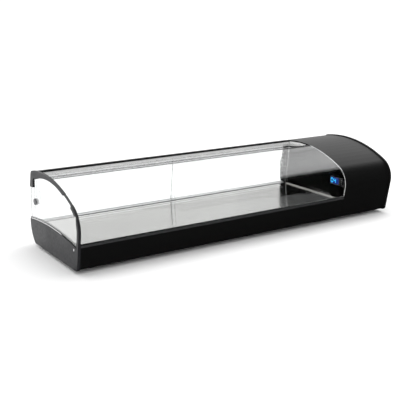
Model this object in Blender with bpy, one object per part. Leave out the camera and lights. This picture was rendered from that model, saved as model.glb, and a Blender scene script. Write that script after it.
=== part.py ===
"""Countertop refrigerated display case with a curved glass front and a machine hood at one end.

X runs along the case with the hood at +X, the customer's side faces -Y, and +Z is up.
The origin is the centre of the footprint, on the surface that the feet stand on.
Every part of the shell follows one side outline, drawn once as arcs and straights and
then offset inwards, so the caps, glass, hood, fascia and pan all run parallel.
"""

import math

import bmesh
import bpy
from mathutils import Matrix, Vector

# Overall size
LENGTH = 1.411
FOOT_HEIGHT = 0.012
GAP = 0.0004

# Side outline, clockwise from the front end of the underside: radii and headings in degrees
TOE_RADIUS = 0.012
FRONT_LEAN = 9.7
FRONT_HEIGHT = 0.1165
NOSE_RADIUS = 0.0844
NOSE_END = 28.3
CROWN_RADIUS = 0.532
CROWN_END = -10.0
CORNER_RADIUS = 0.010
CORNER_END = -73.0
BACK_RADIUS = 0.620
HAUNCH_RADIUS = 0.098
HAUNCH_END = -131.8
HEEL_RADIUS = 0.028
TOE, FRONT, NOSE, CROWN, CORNER, BACK, UPRIGHT, HAUNCH, HEEL, UNDERSIDE = range(10)
FACETS = (4, 1, 14, 14, 4, 4, 1, 5, 5, 1)

# How far each layer lies inside the outline
SKIN = 0.0030
SHEET = 0.0058
GLASS_FACE = 0.0036
GLASS_BACK = 0.0086
GLASS_JOINT = 0.0120
TOP_FALL = 5.6

# Fixing near the front of each end cap
SCREW_SPOT = (-0.1690, 0.0816)

# Stations along X
CAP_THICKNESS = 0.010
CAP_INSIDE = LENGTH / 2 - CAP_THICKNESS
HOOD_LEFT = 0.4510
PARTITION_THICKNESS = 0.003
GLASS_LEFT = -CAP_INSIDE + 0.0006
GLASS_RIGHT = HOOD_LEFT - 0.0006

# Crowned lip of the left cap, the tip of its tongue and the tip of the bracket
LIP_LEFT = (-0.186, 0.0985)
LIP_RIGHT = (0.2125, 0.1040)
LIP_RISE = 0.0165
TONGUE_TIP = -0.1615
BRACKET_TIP = -0.1050

# Heights
DECK_TOP = 0.089
PAN_SHEET = 0.0015
SILL = 0.0945
INSULATION_TOP = 0.0755
INSULATION_STEP = 0.0792

# Evaporator coil
COIL_FRONT = -0.150
COIL_PITCH = 0.050
COIL_HEIGHT = 0.0818

# Sliding doors: two parallel planes that lean forwards
DOOR_LEAN = math.radians(7.0)
DOOR_Y = 0.1655
DOOR_Z = 0.175
DOOR_PITCH = 0.012
DOOR_THICKNESS = 0.004
DOOR_LOW = -0.0920
DOOR_HIGH = 0.0985
DOOR_OVERLAP = 0.022
GROOVE_HALF = 0.0026
JAMB_LOW = -0.0835
LEFT_BUFFER = (-0.0030, -0.0055)
RIGHT_BUFFER = (0.0150, -0.0030)

# Controller
CONTROLLER_Y = -0.1585
CONTROLLER_Z = 0.1600
CONTROLLER_WIDTH = 0.078
CONTROLLER_HEIGHT = 0.035
LENS_SHIFT = 0.0135
BUTTON_SHIFT = -0.0250
BUTTON_PITCH = 0.0085

# Machine compartment
FAN_X = 0.560
FAN_Z = 0.120
FAN_RADIUS = 0.056
COMPRESSOR_X = 0.585
COMPRESSOR_Y = -0.095
PANEL_FITTINGS_X = 0.662
INLET_Z = 0.128
SWITCH_Z = 0.168

COLOURS = {
    "satin_black": ((0.020, 0.020, 0.022), 0.42, 0.0),
    "gloss_black": ((0.006, 0.006, 0.007), 0.14, 0.0),
    "seal_grey": ((0.030, 0.030, 0.032), 0.55, 0.0),
    "buffer_grey": ((0.16, 0.16, 0.17), 0.50, 0.0),
    "rail_metal": ((0.10, 0.10, 0.11), 0.34, 0.9),
    "stainless": ((0.62, 0.61, 0.59), 0.26, 1.0),
    "bright_steel": ((0.80, 0.80, 0.80), 0.12, 1.0),
    "clear_glass": ((0.90, 0.93, 0.93), 0.02, 0.0),
    "clear_acrylic": ((0.93, 0.94, 0.94), 0.05, 0.0),
    "foam": ((0.80, 0.72, 0.50), 0.90, 0.0),
    "copper": ((0.72, 0.36, 0.22), 0.30, 1.0),
    "aluminium": ((0.70, 0.70, 0.71), 0.35, 1.0),
    "galvanised": ((0.50, 0.51, 0.52), 0.45, 0.9),
    "machine_black": ((0.015, 0.015, 0.016), 0.38, 0.2),
    "rubber": ((0.018, 0.018, 0.018), 0.80, 0.0),
    "lens_blue": ((0.010, 0.020, 0.25), 0.10, 0.0),
    "fan_grey": ((0.10, 0.10, 0.11), 0.50, 0.0),
}


# ---------------------------------------------------------------- the side outline


def arc_point(centre, radius, heading):
    """Point on a clockwise arc where the path has this heading, in degrees."""
    angle = math.radians(heading)
    return Vector((centre.x - radius * math.sin(angle), centre.y + radius * math.cos(angle)))


def lay_outline():
    """Lays the outline's arcs and straights end to end and centres them over the origin."""
    headings = (180, 90 + FRONT_LEAN, NOSE_END, CROWN_END, CORNER_END, -90, HAUNCH_END, -180)
    radii = (TOE_RADIUS, NOSE_RADIUS, CROWN_RADIUS, CORNER_RADIUS, BACK_RADIUS)
    lean = math.radians(FRONT_LEAN)
    along_front = Vector((-math.sin(lean), math.cos(lean))) * FRONT_HEIGHT
    here = Vector((0.0, 0.0))
    pieces = []

    def add_arc(radius, start, end):
        nonlocal here
        centre = here - arc_point(Vector((0.0, 0.0)), radius, start)
        pieces.append(["arc", centre, radius, start, end])
        here = arc_point(centre, radius, end)

    def add_line(step):
        nonlocal here
        pieces.append(["line"])
        here = here + step

    add_arc(radii[0], headings[0], headings[1])
    add_line(along_front)
    for radius, start, end in zip(radii[1:], headings[1:], headings[2:]):
        add_arc(radius, start, end)
    haunch_drop = HAUNCH_RADIUS * (0 - math.cos(math.radians(HAUNCH_END)))
    heel_drop = HEEL_RADIUS * (1 + math.cos(math.radians(HAUNCH_END)))
    add_line(Vector((0.0, -(here.y - haunch_drop - heel_drop))))
    add_arc(HAUNCH_RADIUS, -90, HAUNCH_END)
    add_arc(HEEL_RADIUS, HAUNCH_END, -180)
    pieces.append(["line"])
    front = pieces[NOSE][1].x - NOSE_RADIUS
    back = pieces[BACK][1].x + BACK_RADIUS
    shift = Vector((-(front + back) / 2, FOOT_HEIGHT))
    for piece in pieces:
        if piece[0] == "arc":
            piece[1] = piece[1] + shift
    return pieces


OUTLINE = lay_outline()


def outline_point(station, inset=0.0):
    """(y, z) on the outline moved inwards. A station is the piece's number plus how far along it."""
    index = int(math.floor(station)) % 10
    share = station - math.floor(station)
    piece = OUTLINE[index]
    if piece[0] == "arc":
        heading = piece[3] + (piece[4] - piece[3]) * share
        return arc_point(piece[1], piece[2] - inset, heading)
    before = OUTLINE[(index - 1) % 10]
    after = OUTLINE[(index + 1) % 10]
    start = arc_point(before[1], before[2] - inset, before[4])
    end = arc_point(after[1], after[2] - inset, after[3])
    return start.lerp(end, share)


def stations_between(start, end):
    """The stations of a run of the outline, with every facet of its arcs."""
    found = [start]
    for index in range(int(math.floor(start)), int(math.ceil(end))):
        count = FACETS[index % 10]
        found += [index + k / count for k in range(count + 1)]
    found.append(end)
    kept = []
    for station in sorted(found):
        if start <= station <= end and (not kept or station - kept[-1] > 1e-4):
            kept.append(station)
    return kept


def run(start, end, inset):
    """Points of the offset outline between two stations."""
    return [outline_point(station, inset) for station in stations_between(start, end)]


def strip(start, end, outer, inner):
    """Closed section of a sheet that follows the outline between two insets."""
    return run(start, end, outer) + run(start, end, inner)[::-1]


def station_where(piece, coordinate, value, inset, pieces=1):
    """Station, on one piece or a few, where the outline's y (0) or z (1) takes this value."""
    low, high = float(piece), piece + pieces - 1e-9
    rising = outline_point(high, inset)[coordinate] > outline_point(low, inset)[coordinate]
    for _ in range(50):
        middle = (low + high) / 2
        if (outline_point(middle, inset)[coordinate] < value) == rising:
            low = middle
        else:
            high = middle
    return (low + high) / 2


def front_point(z, inset):
    """(y, z) on the leaning front at a height."""
    return outline_point(station_where(FRONT, 1, z, inset), inset)


def door_point(across, up):
    """(y, z) in the doors' leaning frame: across is towards the rear from the inner door's middle."""
    cosine, sine = math.cos(DOOR_LEAN), math.sin(DOOR_LEAN)
    return Vector((DOOR_Y + across * cosine - up * sine, DOOR_Z + across * sine + up * cosine))


def arc_through(start, end, rise, count):
    """Points of the shallow arc that joins two (y, z) points and bulges upwards by rise."""
    start, end = Vector(start), Vector(end)
    chord = end - start
    radius = chord.length_squared / (8 * rise) + rise / 2
    half = math.asin(chord.length / 2 / radius)
    normal = Vector((-chord.y, chord.x)).normalized()
    centre = (start + end) / 2 - normal * (radius - rise)
    points = []
    for k in range(count + 1):
        angle = half * (2 * k / count - 1)
        sideways = chord.normalized() * radius * math.sin(angle)
        points.append(centre + normal * radius * math.cos(angle) + sideways)
    return points


# ---------------------------------------------------------------- making objects


def clear_scene():
    """Removes what the startup file holds."""
    for obj in list(bpy.data.objects):
        bpy.data.objects.remove(obj)


def material_named(name):
    """The Principled material of this name, made on first use."""
    if name in bpy.data.materials:
        return bpy.data.materials[name]
    colour, roughness, metallic = COLOURS[name]
    material = bpy.data.materials.new(name)
    material.use_nodes = True
    shader = material.node_tree.nodes["Principled BSDF"]
    shader.inputs["Base Color"].default_value = (*colour, 1.0)
    shader.inputs["Roughness"].default_value = roughness
    shader.inputs["Metallic"].default_value = metallic
    if name.startswith("clear"):
        shader.inputs["Transmission Weight"].default_value = 1.0
    return material


def place(name, mesh, material, location=(0, 0, 0), parent=None):
    """Links a new object with this mesh."""
    obj = bpy.data.objects.new(name, mesh)
    bpy.context.scene.collection.objects.link(obj)
    obj.location = location
    if material:
        mesh.materials.append(material_named(material))
    if parent:
        obj.parent = parent
        obj.matrix_parent_inverse = Matrix.Translation(parent.location).inverted()
    return obj


def mesh_from(bm, name, smooth_below=0.0):
    """Turns the bmesh into a mesh with outward normals, smooth across edges flatter than the angle."""
    bmesh.ops.recalc_face_normals(bm, faces=bm.faces)
    mesh = bpy.data.meshes.new(name)
    bm.to_mesh(mesh)
    bm.free()
    if smooth_below:
        mesh.shade_smooth()
        mesh.set_sharp_from_angle(angle=math.radians(smooth_below))
    return mesh


def prism_bmesh(section, start, depth):
    """A bmesh of the section, a list of 3-D points, swept along the depth vector."""
    bm = bmesh.new()
    face = bm.faces.new([bm.verts.new(Vector(start) + Vector(point)) for point in section])
    swept = bmesh.ops.extrude_face_region(bm, geom=[face])
    moved = [item for item in swept["geom"] if isinstance(item, bmesh.types.BMVert)]
    bmesh.ops.translate(bm, verts=moved, vec=depth)
    return bm


def prism_x(name, section, x0, x1, material, smooth_below=20.0, parent=None):
    """A (y, z) section swept along X."""
    points = [(0, point[0], point[1]) for point in section]
    bm = prism_bmesh(points, (x0, 0, 0), (x1 - x0, 0, 0))
    return place(name, mesh_from(bm, name, smooth_below), material, parent=parent)


def slanted_prism(name, section, up0, up1, material, parent=None):
    """An (x, across) section swept up the doors' leaning direction."""
    low, high = door_point(0, up0), door_point(0, up1)
    depth = Vector((0, high.x - low.x, high.y - low.y))
    points = [(x, *door_point(across, up0)) for x, across in section]
    bm = prism_bmesh(points, (0, 0, 0), depth)
    return place(name, mesh_from(bm, name), material, parent=parent)


def prism_z(name, section, z0, z1, material, smooth_below=30.0):
    """An (x, y) section swept upwards."""
    bm = prism_bmesh([(x, y, 0) for x, y in section], (0, 0, z0), (0, 0, z1 - z0))
    return place(name, mesh_from(bm, name, smooth_below), material)


def box(name, low, high, material):
    """A plain block between two corners."""
    section = [(low[0], low[1]), (high[0], low[1]), (high[0], high[1]), (low[0], high[1])]
    return prism_z(name, section, low[2], high[2], material, smooth_below=0.0)


def rounded_rectangle(width, height, radius, steps=4):
    """Corner-rounded rectangle about the origin, as 2-D points."""
    points = []
    for turn, (sx, sy) in enumerate(((1, 1), (-1, 1), (-1, -1), (1, -1))):
        cx, cy = sx * (width / 2 - radius), sy * (height / 2 - radius)
        for k in range(steps + 1):
            angle = math.radians(90 * (turn + k / steps))
            points.append((cx + radius * math.cos(angle), cy + radius * math.sin(angle)))
    return points


AXES = {
    "X": Matrix(((0, 0, 1), (1, 0, 0), (0, 1, 0))),
    "Y": Matrix(((0, 1, 0), (0, 0, 1), (1, 0, 0))),
    "Z": Matrix.Identity(3),
}


def turned(name, profile, location, axis, material, steps=24, parent=None):
    """A solid turned from (radius, height) points about an axis through its location."""
    bm = bmesh.new()
    rings = []
    for radius, height in profile:
        if radius < 1e-7:
            rings.append([bm.verts.new((0, 0, height))])
            continue
        angles = [math.tau * k / steps for k in range(steps)]
        rings.append([bm.verts.new((radius * math.cos(a), radius * math.sin(a), height)) for a in angles])
    for lower, upper in zip(rings, rings[1:]):
        for k in range(steps):
            n = (k + 1) % steps
            corners = [lower[k % len(lower)], lower[n % len(lower)]]
            corners += [upper[n % len(upper)], upper[k % len(upper)]]
            unique = list(dict.fromkeys(corners))
            if len(unique) > 2:
                bm.faces.new(unique)
    if len(rings[0]) > 1:
        bm.faces.new(rings[0][::-1])
    if len(rings[-1]) > 1:
        bm.faces.new(rings[-1])
    bmesh.ops.transform(bm, matrix=AXES[axis].to_4x4(), verts=bm.verts)
    return place(name, mesh_from(bm, name, 35.0), material, location, parent)


def tube(name, points, radius, material):
    """A round tube along the points, with closed ends."""
    curve = bpy.data.curves.new(name, "CURVE")
    curve.dimensions = "3D"
    spline = curve.splines.new("POLY")
    spline.points.add(len(points) - 1)
    for target, point in zip(spline.points, points):
        target.co = (*point, 1.0)
    curve.bevel_depth = radius
    curve.bevel_resolution = 2
    curve.use_fill_caps = True
    obj = bpy.data.objects.new(name, curve)
    bpy.context.scene.collection.objects.link(obj)
    curve.materials.append(material_named(material))
    return obj


def bend_path(corners, radius, steps=5):
    """Replaces each inner corner of a route with an arc of the bending radius."""
    corners = [Vector(corner) for corner in corners]
    points = [corners[0]]
    for before, corner, after in zip(corners, corners[1:], corners[2:]):
        back, ahead = (before - corner).normalized(), (after - corner).normalized()
        half = back.angle(ahead) / 2
        reach = radius / math.tan(half)
        centre = corner + (back + ahead).normalized() * (radius / math.sin(half))
        first, last = corner + back * reach - centre, corner + ahead * reach - centre
        turn = first.angle(last)
        for k in range(steps + 1):
            share = k / steps
            blend = first * math.sin((1 - share) * turn) + last * math.sin(share * turn)
            points.append(centre + blend / math.sin(turn))
    points.append(corners[-1])
    return points


def boolean(target, tool, operation="DIFFERENCE"):
    """Adds an exact Boolean with a helper, which stays out of the build."""
    tool.hide_render = True
    tool.display_type = "WIRE"
    modifier = target.modifiers.new(operation.title(), "BOOLEAN")
    modifier.operation = operation
    modifier.object = tool
    modifier.solver = "EXACT"
    return target


# ---------------------------------------------------------------- base and deck


def base_pan():
    """Folded sheet pan: the underside, the heel and the rear skirt."""
    start = station_where(BACK, 1, DECK_TOP - 0.0012, SHEET, 3)
    section = strip(start, UNDERSIDE + 0.985, SHEET, SHEET + PAN_SHEET)
    pan = prism_x("base_pan", section, -CAP_INSIDE + GAP, CAP_INSIDE - GAP, "satin_black")
    slots = []
    for row in range(9):
        x = 0.500 + 0.0170 * row
        for y in (-0.020, 0.050):
            slots.append(((x, y, 0.005), (x + 0.0070, y + 0.050, 0.030)))
    return boolean(pan, blocks("pan_slots", slots, None))


def front_fascia():
    """Gloss front panel, with a lip that hooks under the pan."""
    end = station_where(FRONT, 1, SILL - 0.0010, SKIN) + 10
    return prism_x("front_fascia", strip(UNDERSIDE + 0.93, end, SKIN, SKIN + 0.0025),
                   -CAP_INSIDE + GAP, GLASS_RIGHT, "gloss_black")


def glass_channel():
    """U-shaped seal on top of the fascia that the front glass stands in."""
    floor, lip, wall = SILL + 0.0022, SILL + 0.0078, SILL + 0.0095
    section = [
        front_point(SILL, 0.0024),
        front_point(lip, 0.0024),
        front_point(lip, GLASS_FACE - GAP),
        front_point(floor, GLASS_FACE - GAP),
        front_point(floor, GLASS_BACK + GAP),
        front_point(wall, GLASS_BACK + GAP),
        front_point(wall, 0.0100),
        front_point(SILL, 0.0100),
    ]
    return prism_x("glass_channel", section, -CAP_INSIDE + GAP, GLASS_RIGHT, "seal_grey")


def deck_plate():
    """Stainless deck pressed as a tray: a front lip and low end lips, open at the rear."""
    thickness, end_lip, front_lip = 0.0012, 0.0045, 0.1070
    outer, inner = 0.0104, 0.0104 + thickness
    rear = 0.1635
    low = DECK_TOP - thickness
    section = [
        front_point(low, outer),
        front_point(front_lip, outer),
        front_point(front_lip, inner),
        front_point(DECK_TOP + end_lip, inner),
        (rear, DECK_TOP + end_lip),
        (rear, low),
    ]
    x0, x1 = -CAP_INSIDE + 0.0016, GLASS_RIGHT - 0.0006
    deck = prism_x("deck_plate", section, x0, x1, "stainless")
    hollow = [
        front_point(DECK_TOP, inner),
        front_point(DECK_TOP + 0.030, inner),
        (rear + 0.010, DECK_TOP + 0.030),
        (rear + 0.010, DECK_TOP),
    ]
    return boolean(deck, prism_x("deck_hollow", hollow, x0 + thickness, x1 - thickness, None))


def insulation_block():
    """Foam that fills the base under the deck, stepped up under the door track."""
    inset = SHEET + 0.0020
    rear = station_where(BACK, 1, INSULATION_STEP, inset, 4)
    front = station_where(FRONT, 1, INSULATION_TOP, inset)
    section = run(rear, 10, inset) + run(10, front + 10, inset)[1:]
    section += [(0.160, INSULATION_TOP), (0.160, INSULATION_STEP)]
    return prism_x("insulation_block", section, -CAP_INSIDE + 0.0025, HOOD_LEFT - 0.0024, "foam")


def evaporator_coil():
    """Copper serpentine that lies between the foam and the deck."""
    left, right, height = -0.655, 0.400, COIL_HEIGHT
    rows = [COIL_FRONT + COIL_PITCH * k for k in range(6)]
    corners = [(0.478, rows[0], height)]
    for k, y in enumerate(rows):
        ends = (left, right) if k % 2 == 0 else (right, left)
        corners += [(ends[0], y, height)] if k == 0 else [(ends[1], y, height), (ends[0], y, height)]
    corners[-1] = (0.478, rows[-1], height)
    return tube("evaporator_coil", bend_path(corners, 0.0225), 0.0044, "copper")


def lower_track():
    """Twin-groove sill that the sliding doors stand in."""
    floor, top, base = -0.0925, -0.0845, INSULATION_STEP + 0.0010
    section = [
        (door_point(-0.0066, -0.094).x, base),
        door_point(-0.0066, top),
        door_point(-GROOVE_HALF, top),
        door_point(-GROOVE_HALF, floor),
        door_point(GROOVE_HALF, floor),
        door_point(GROOVE_HALF, top),
        door_point(DOOR_PITCH - GROOVE_HALF, top),
        door_point(DOOR_PITCH - GROOVE_HALF, floor),
        door_point(DOOR_PITCH + GROOVE_HALF, floor),
        door_point(DOOR_PITCH + GROOVE_HALF, top),
        door_point(DOOR_PITCH + 0.0056, top),
        door_point(DOOR_PITCH + 0.0056, floor),
        (0.2036, base + 0.0033),
        (0.2036, base),
    ]
    return prism_x("lower_track", section, -CAP_INSIDE + 0.0004, HOOD_LEFT - 0.0010, "satin_black")


# ---------------------------------------------------------------- top and glass


def front_glass():
    """Curved front glass, from the channel on the fascia up over the nose."""
    start = station_where(FRONT, 1, SILL + 0.0026, GLASS_FACE)
    end = station_where(CROWN, 0, GLASS_JOINT - 0.0016, GLASS_FACE)
    return prism_x("front_glass", strip(start, end, GLASS_FACE, GLASS_BACK),
                   GLASS_LEFT, GLASS_RIGHT, "clear_glass")


def top_glass_line():
    """(point, direction) of the flat glass's upper face where it starts behind the seam."""
    seam = outline_point(station_where(CROWN, 0, GLASS_JOINT, GLASS_FACE), GLASS_FACE)
    fall = math.radians(TOP_FALL)
    return Vector((GLASS_JOINT + 0.0014, seam.y)), Vector((math.cos(fall), -math.sin(fall)))


def top_glass():
    """Flat top glass that falls from the seam to a ledge on the rear rail."""
    top, along = top_glass_line()
    down = Vector((along.y, -along.x)) * (GLASS_BACK - GLASS_FACE)
    reach = (door_point(-0.0086, 0.0905).x - 0.0008 - top.x) / along.x
    section = [top, top + along * reach, top + along * reach + down, top + down]
    return prism_x("top_glass", section, GLASS_LEFT, GLASS_RIGHT, "clear_glass")


def glass_seam():
    """Slim seal between the two sheets of glass."""
    top = outline_point(station_where(CROWN, 0, GLASS_JOINT, GLASS_FACE), GLASS_FACE).y
    half, wing = 0.0006, 0.0026
    section = [
        (GLASS_JOINT - half, top - 0.0055),
        (GLASS_JOINT - half, top + GAP),
        (GLASS_JOINT - wing, top + GAP),
        (GLASS_JOINT - wing, top + 0.0012),
        (GLASS_JOINT + wing, top + 0.0012),
        (GLASS_JOINT + wing, top + GAP),
        (GLASS_JOINT + half, top + GAP),
        (GLASS_JOINT + half, top - 0.0055),
    ]
    return prism_x("glass_seam", section, GLASS_LEFT, GLASS_RIGHT, "seal_grey")


def top_rail():
    """Extruded rear rail: a ledge for the top glass and two door grooves that open downwards."""
    low, high = 0.0905, 0.1005
    nose = door_point(-0.0086, low)
    front_top = station_where(CROWN, 0, nose.x, GLASS_FACE)
    back_low = station_where(BACK, 1, 0.2630, GLASS_FACE)
    groove = [
        door_point(DOOR_PITCH + 0.0050, high),
        door_point(DOOR_PITCH + 0.0050, low),
        door_point(DOOR_PITCH + GROOVE_HALF, low),
        door_point(DOOR_PITCH + GROOVE_HALF, high),
        door_point(DOOR_PITCH - GROOVE_HALF, high),
        door_point(DOOR_PITCH - GROOVE_HALF, low),
        door_point(GROOVE_HALF, low),
        door_point(GROOVE_HALF, high),
        door_point(-GROOVE_HALF, high),
        door_point(-GROOVE_HALF, low),
    ]
    top, along = top_glass_line()
    thickness = GLASS_BACK - GLASS_FACE

    def under_glass(y, drop):
        return Vector((y, top.y + (y - top.x) * along.y / along.x - thickness / along.x - drop))

    section = [
        Vector((nose.x + 0.0026, under_glass(nose.x, 0.0022).y)),
        under_glass(nose.x - 0.0055, 0.0020),
        under_glass(nose.x - 0.0055, GAP),
        under_glass(nose.x, GAP),
    ]
    section += run(front_top, back_low, GLASS_FACE)
    section += [outline_point(back_low, 0.0056), outline_point(BACK + 0.02, 0.0056)]
    section += groove
    return prism_x("top_rail", section, -CAP_INSIDE + 0.0004, HOOD_LEFT - 0.0006, "rail_metal")


# ---------------------------------------------------------------- left end


def lip_curve(drop, count=12):
    """Crowned top edge of the left cap, lowered by drop."""
    start = (LIP_LEFT[0] - 0.006, LIP_LEFT[1] - drop)
    end = (LIP_RIGHT[0] + 0.006, LIP_RIGHT[1] - drop)
    return arc_through(start, end, LIP_RISE, count)


def pane_section(inset, drop):
    """Outline of the left side pane, grown or shrunk with the inset and the drop below the cap's lip."""
    low_front = station_where(FRONT, 1, 0.0935 + 0.0120 - drop, inset)
    low_back = station_where(BACK, 1, 0.0960 + 0.0120 - drop, inset, 3)
    curve = [p for p in lip_curve(drop) if -0.196 < p.x < 0.200]
    return run(low_front, low_back, inset) + curve[::-1]


def pane_slot(name):
    """Helper that clears the pane, with room on every side, from the moulding that holds it."""
    return prism_x(name, pane_section(0.0056, 0.0124), -LENGTH / 2 + 0.0024, -CAP_INSIDE - 0.0032, None)


def left_end_cap():
    """Moulded left end: the body under the lip and a tongue that runs up the front edge of the glass."""
    tongue_inner = 0.0120
    back_start = station_where(BACK, 1, 0.1045, 0.0)
    tip = station_where(CROWN, 0, TONGUE_TIP, 0.0)
    body = run(back_start, 10, 0.0) + run(10, tip + 10, 0.0)[1:]
    root = station_where(FRONT, 1, 0.108, tongue_inner)
    body += run(root, tip, tongue_inner)[::-1]
    body += [p for p in lip_curve(0.0) if -0.184 < p.x < 0.208]
    outside = -LENGTH / 2
    cap = prism_x("left_end_cap", body, outside, -CAP_INSIDE, "satin_black")
    above_lip = [p for p in lip_curve(0.0070)] + [Vector((0.23, 0.20)), Vector((-0.1975, 0.20))]
    above_lip = [Vector((max(p.x, -0.1975), p.y)) for p in above_lip]
    boolean(cap, prism_x("left_lip_cut", above_lip, outside - 0.001, outside + 0.0026, None))
    boolean(cap, pane_slot("left_pane_slot"))
    return boolean(cap, screw_seat(-1))


def left_side_pane():
    """Clear end pane that stands in the cap's slot and carries the top bracket."""
    outside = -LENGTH / 2
    return prism_x("left_side_pane", pane_section(0.0060, 0.0120),
                   outside + 0.0027, -CAP_INSIDE - 0.0036, "clear_glass")


def left_glazing_bead():
    """Slim bright bead along the cap's outer lip, at the foot of the pane."""
    upper = [p for p in lip_curve(0.0070 - 0.0026, 24) if -0.080 < p.x < 0.202]
    lower = [p for p in lip_curve(0.0070 - GAP, 24) if -0.080 < p.x < 0.202]
    outside = -LENGTH / 2
    return prism_x("left_glazing_bead", lower + upper[::-1],
                   outside + 0.0006, outside + 0.0023, "bright_steel")


def left_top_bracket():
    """Moulded top corner: a long tapering finger over the pane, and a leg that ends the door rail."""
    outside = -LENGTH / 2
    tip = station_where(CROWN, 0, BRACKET_TIP, 0.0)
    shoulder = station_where(CROWN, 0, outline_point(CORNER).x - 0.0060, 0.0)
    hip = station_where(BACK, 1, outline_point(BACK).y - 0.0060, 0.0)
    leg_low = station_where(BACK, 1, 0.2185, 0.0)
    rounding = arc_through(outline_point(shoulder), outline_point(hip), 0.0029, 6)
    outer = run(tip, shoulder, 0.0) + rounding[1:-1] + run(hip, leg_low, 0.0)
    under = arc_through((BRACKET_TIP + 0.0060, 0.2475), (0.1400, 0.2560), 0.0215, 12)
    centre = Vector((0.1500, 0.2410))
    turns = [math.radians(angle) for angle in (15, 35, 55, 75, 90)]
    corner = [centre + 0.0180 * Vector((math.sin(turn), math.cos(turn))) for turn in turns]
    section = outer + [Vector((0.1690, 0.2210))] + corner[::-1] + under[::-1]
    bracket = prism_x("left_top_bracket", section, outside, -CAP_INSIDE, "satin_black")
    return boolean(bracket, pane_slot("left_bracket_slot"))


def left_arc_trim():
    """Slim edge trim on the pane that carries the line of the cap's tongue on to the bracket."""
    start = station_where(CROWN, 0, TONGUE_TIP + 0.0008, 0.0)
    end = station_where(CROWN, 0, BRACKET_TIP - 0.0010, 0.0)
    return prism_x("left_arc_trim", strip(start, end, 0.0008, 0.0052),
                   -LENGTH / 2 + 0.0024, -CAP_INSIDE - GAP, "satin_black")


def door_buffer(name, x_foot, x_face, across, up):
    """Round rubber stop that the far door runs against."""
    reach = abs(x_face - x_foot)
    profile = [
        (0.0, 0.0), (0.0095, 0.0), (0.0118, 0.0022), (0.0118, reach - 0.0030),
        (0.0100, reach - 0.0004), (0.0055, reach), (0.0048, reach - 0.0018), (0.0, reach - 0.0018),
    ]
    direction = math.copysign(1.0, x_face - x_foot)
    profile = [(radius, height * direction) for radius, height in profile]
    return turned(name, profile, (x_foot, *door_point(across, up)), "X", "buffer_grey", 24)


def left_buffer_cap():
    """Outer half of the left buffer, which clamps it to the pane."""
    profile = [(0.0, 0.0), (0.0120, 0.0), (0.0120, 0.0012), (0.0106, 0.0020), (0.0, 0.0020)]
    profile = [(radius, -height) for radius, height in profile]
    location = (-LENGTH / 2 + 0.0023, *door_point(*LEFT_BUFFER))
    return turned("left_buffer_cap", profile, location, "X", "buffer_grey", 24)


def left_door_jamb():
    """Clear angle behind the closed end of the left door."""
    back = DOOR_PITCH + GROOVE_HALF
    x0 = -CAP_INSIDE + 0.0004
    section = [(x0, back), (x0 + 0.0080, back), (x0 + 0.0080, back + 0.0020), (x0, back + 0.0020)]
    return slanted_prism("left_door_jamb", section, JAMB_LOW, 0.0895, "clear_acrylic")


def right_door_jamb():
    """Dark angle in front of the closed end of the right door."""
    face = -GROOVE_HALF
    x1 = HOOD_LEFT - 0.0004
    section = [(x1, face), (x1 - 0.0080, face), (x1 - 0.0080, face - 0.0072), (x1, face - 0.0072)]
    return slanted_prism("right_door_jamb", section, JAMB_LOW, 0.0845, "satin_black")


# ---------------------------------------------------------------- doors


def door_span(side):
    """(x0, x1) of a door: each one ends just inside its own jamb and laps the other at the middle."""
    middle = (-CAP_INSIDE + HOOD_LEFT) / 2
    if side == "left":
        return -CAP_INSIDE + 0.0012, middle + DOOR_OVERLAP / 2
    return middle - DOOR_OVERLAP / 2, HOOD_LEFT - 0.0012


def door(side):
    """Clear sliding door: the left one runs in the rear groove and the right one in front of it."""
    x0, x1 = door_span(side)
    plane = DOOR_PITCH if side == "left" else 0.0
    half = DOOR_THICKNESS / 2
    section = [(x0, plane - half), (x1, plane - half), (x1, plane + half), (x0, plane + half)]
    return slanted_prism(f"{side}_door", section, DOOR_LOW, DOOR_HIGH, "clear_acrylic")


# ---------------------------------------------------------------- right end and hood


def right_end_cap():
    """Moulded right end: a closed face with a rim flange that the hood butts against."""
    cap = prism_x("right_end_cap", run(0, 10 - 1e-6, 0.0)[:-1], CAP_INSIDE, LENGTH / 2, "satin_black")
    inside = run(0, 10 - 1e-6, 0.0085)[:-1]
    pocket = prism_x("right_cap_pocket", inside, CAP_INSIDE - 0.01, LENGTH / 2 - 0.0030, None)
    boolean(cap, pocket)
    return boolean(cap, screw_seat(1))


def screw_seat(side):
    """Helper that sinks a shallow seat for the screw into an end cap."""
    profile = [(0.0, -0.0018), (0.0053, -0.0018), (0.0053, 0.0020), (0.0, 0.0020)]
    return turned(f"screw_seat_{side}", profile, (side * LENGTH / 2, *SCREW_SPOT), "X", None, 20)


def cap_screw(side, name):
    """Capped fixing near the front of an end cap."""
    profile = [(0.0, 0.0), (0.0050, 0.0), (0.0050, 0.0008), (0.0036, 0.0013), (0.0, 0.0014)]
    if side < 0:
        profile = [(radius, -height) for radius, height in profile]
    return turned(name, profile, (side * (LENGTH / 2 - 0.0015), *SCREW_SPOT), "X", "bright_steel", 20)


def hood():
    """One-piece machine cover: front, nose, crown and the top of the back."""
    end = station_where(BACK, 1, 0.2400, SKIN)
    section = strip(UNDERSIDE + 0.93, end + 10, SKIN, SKIN + 0.0025)
    return prism_x("hood", section, HOOD_LEFT, CAP_INSIDE - GAP, "gloss_black")


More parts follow.
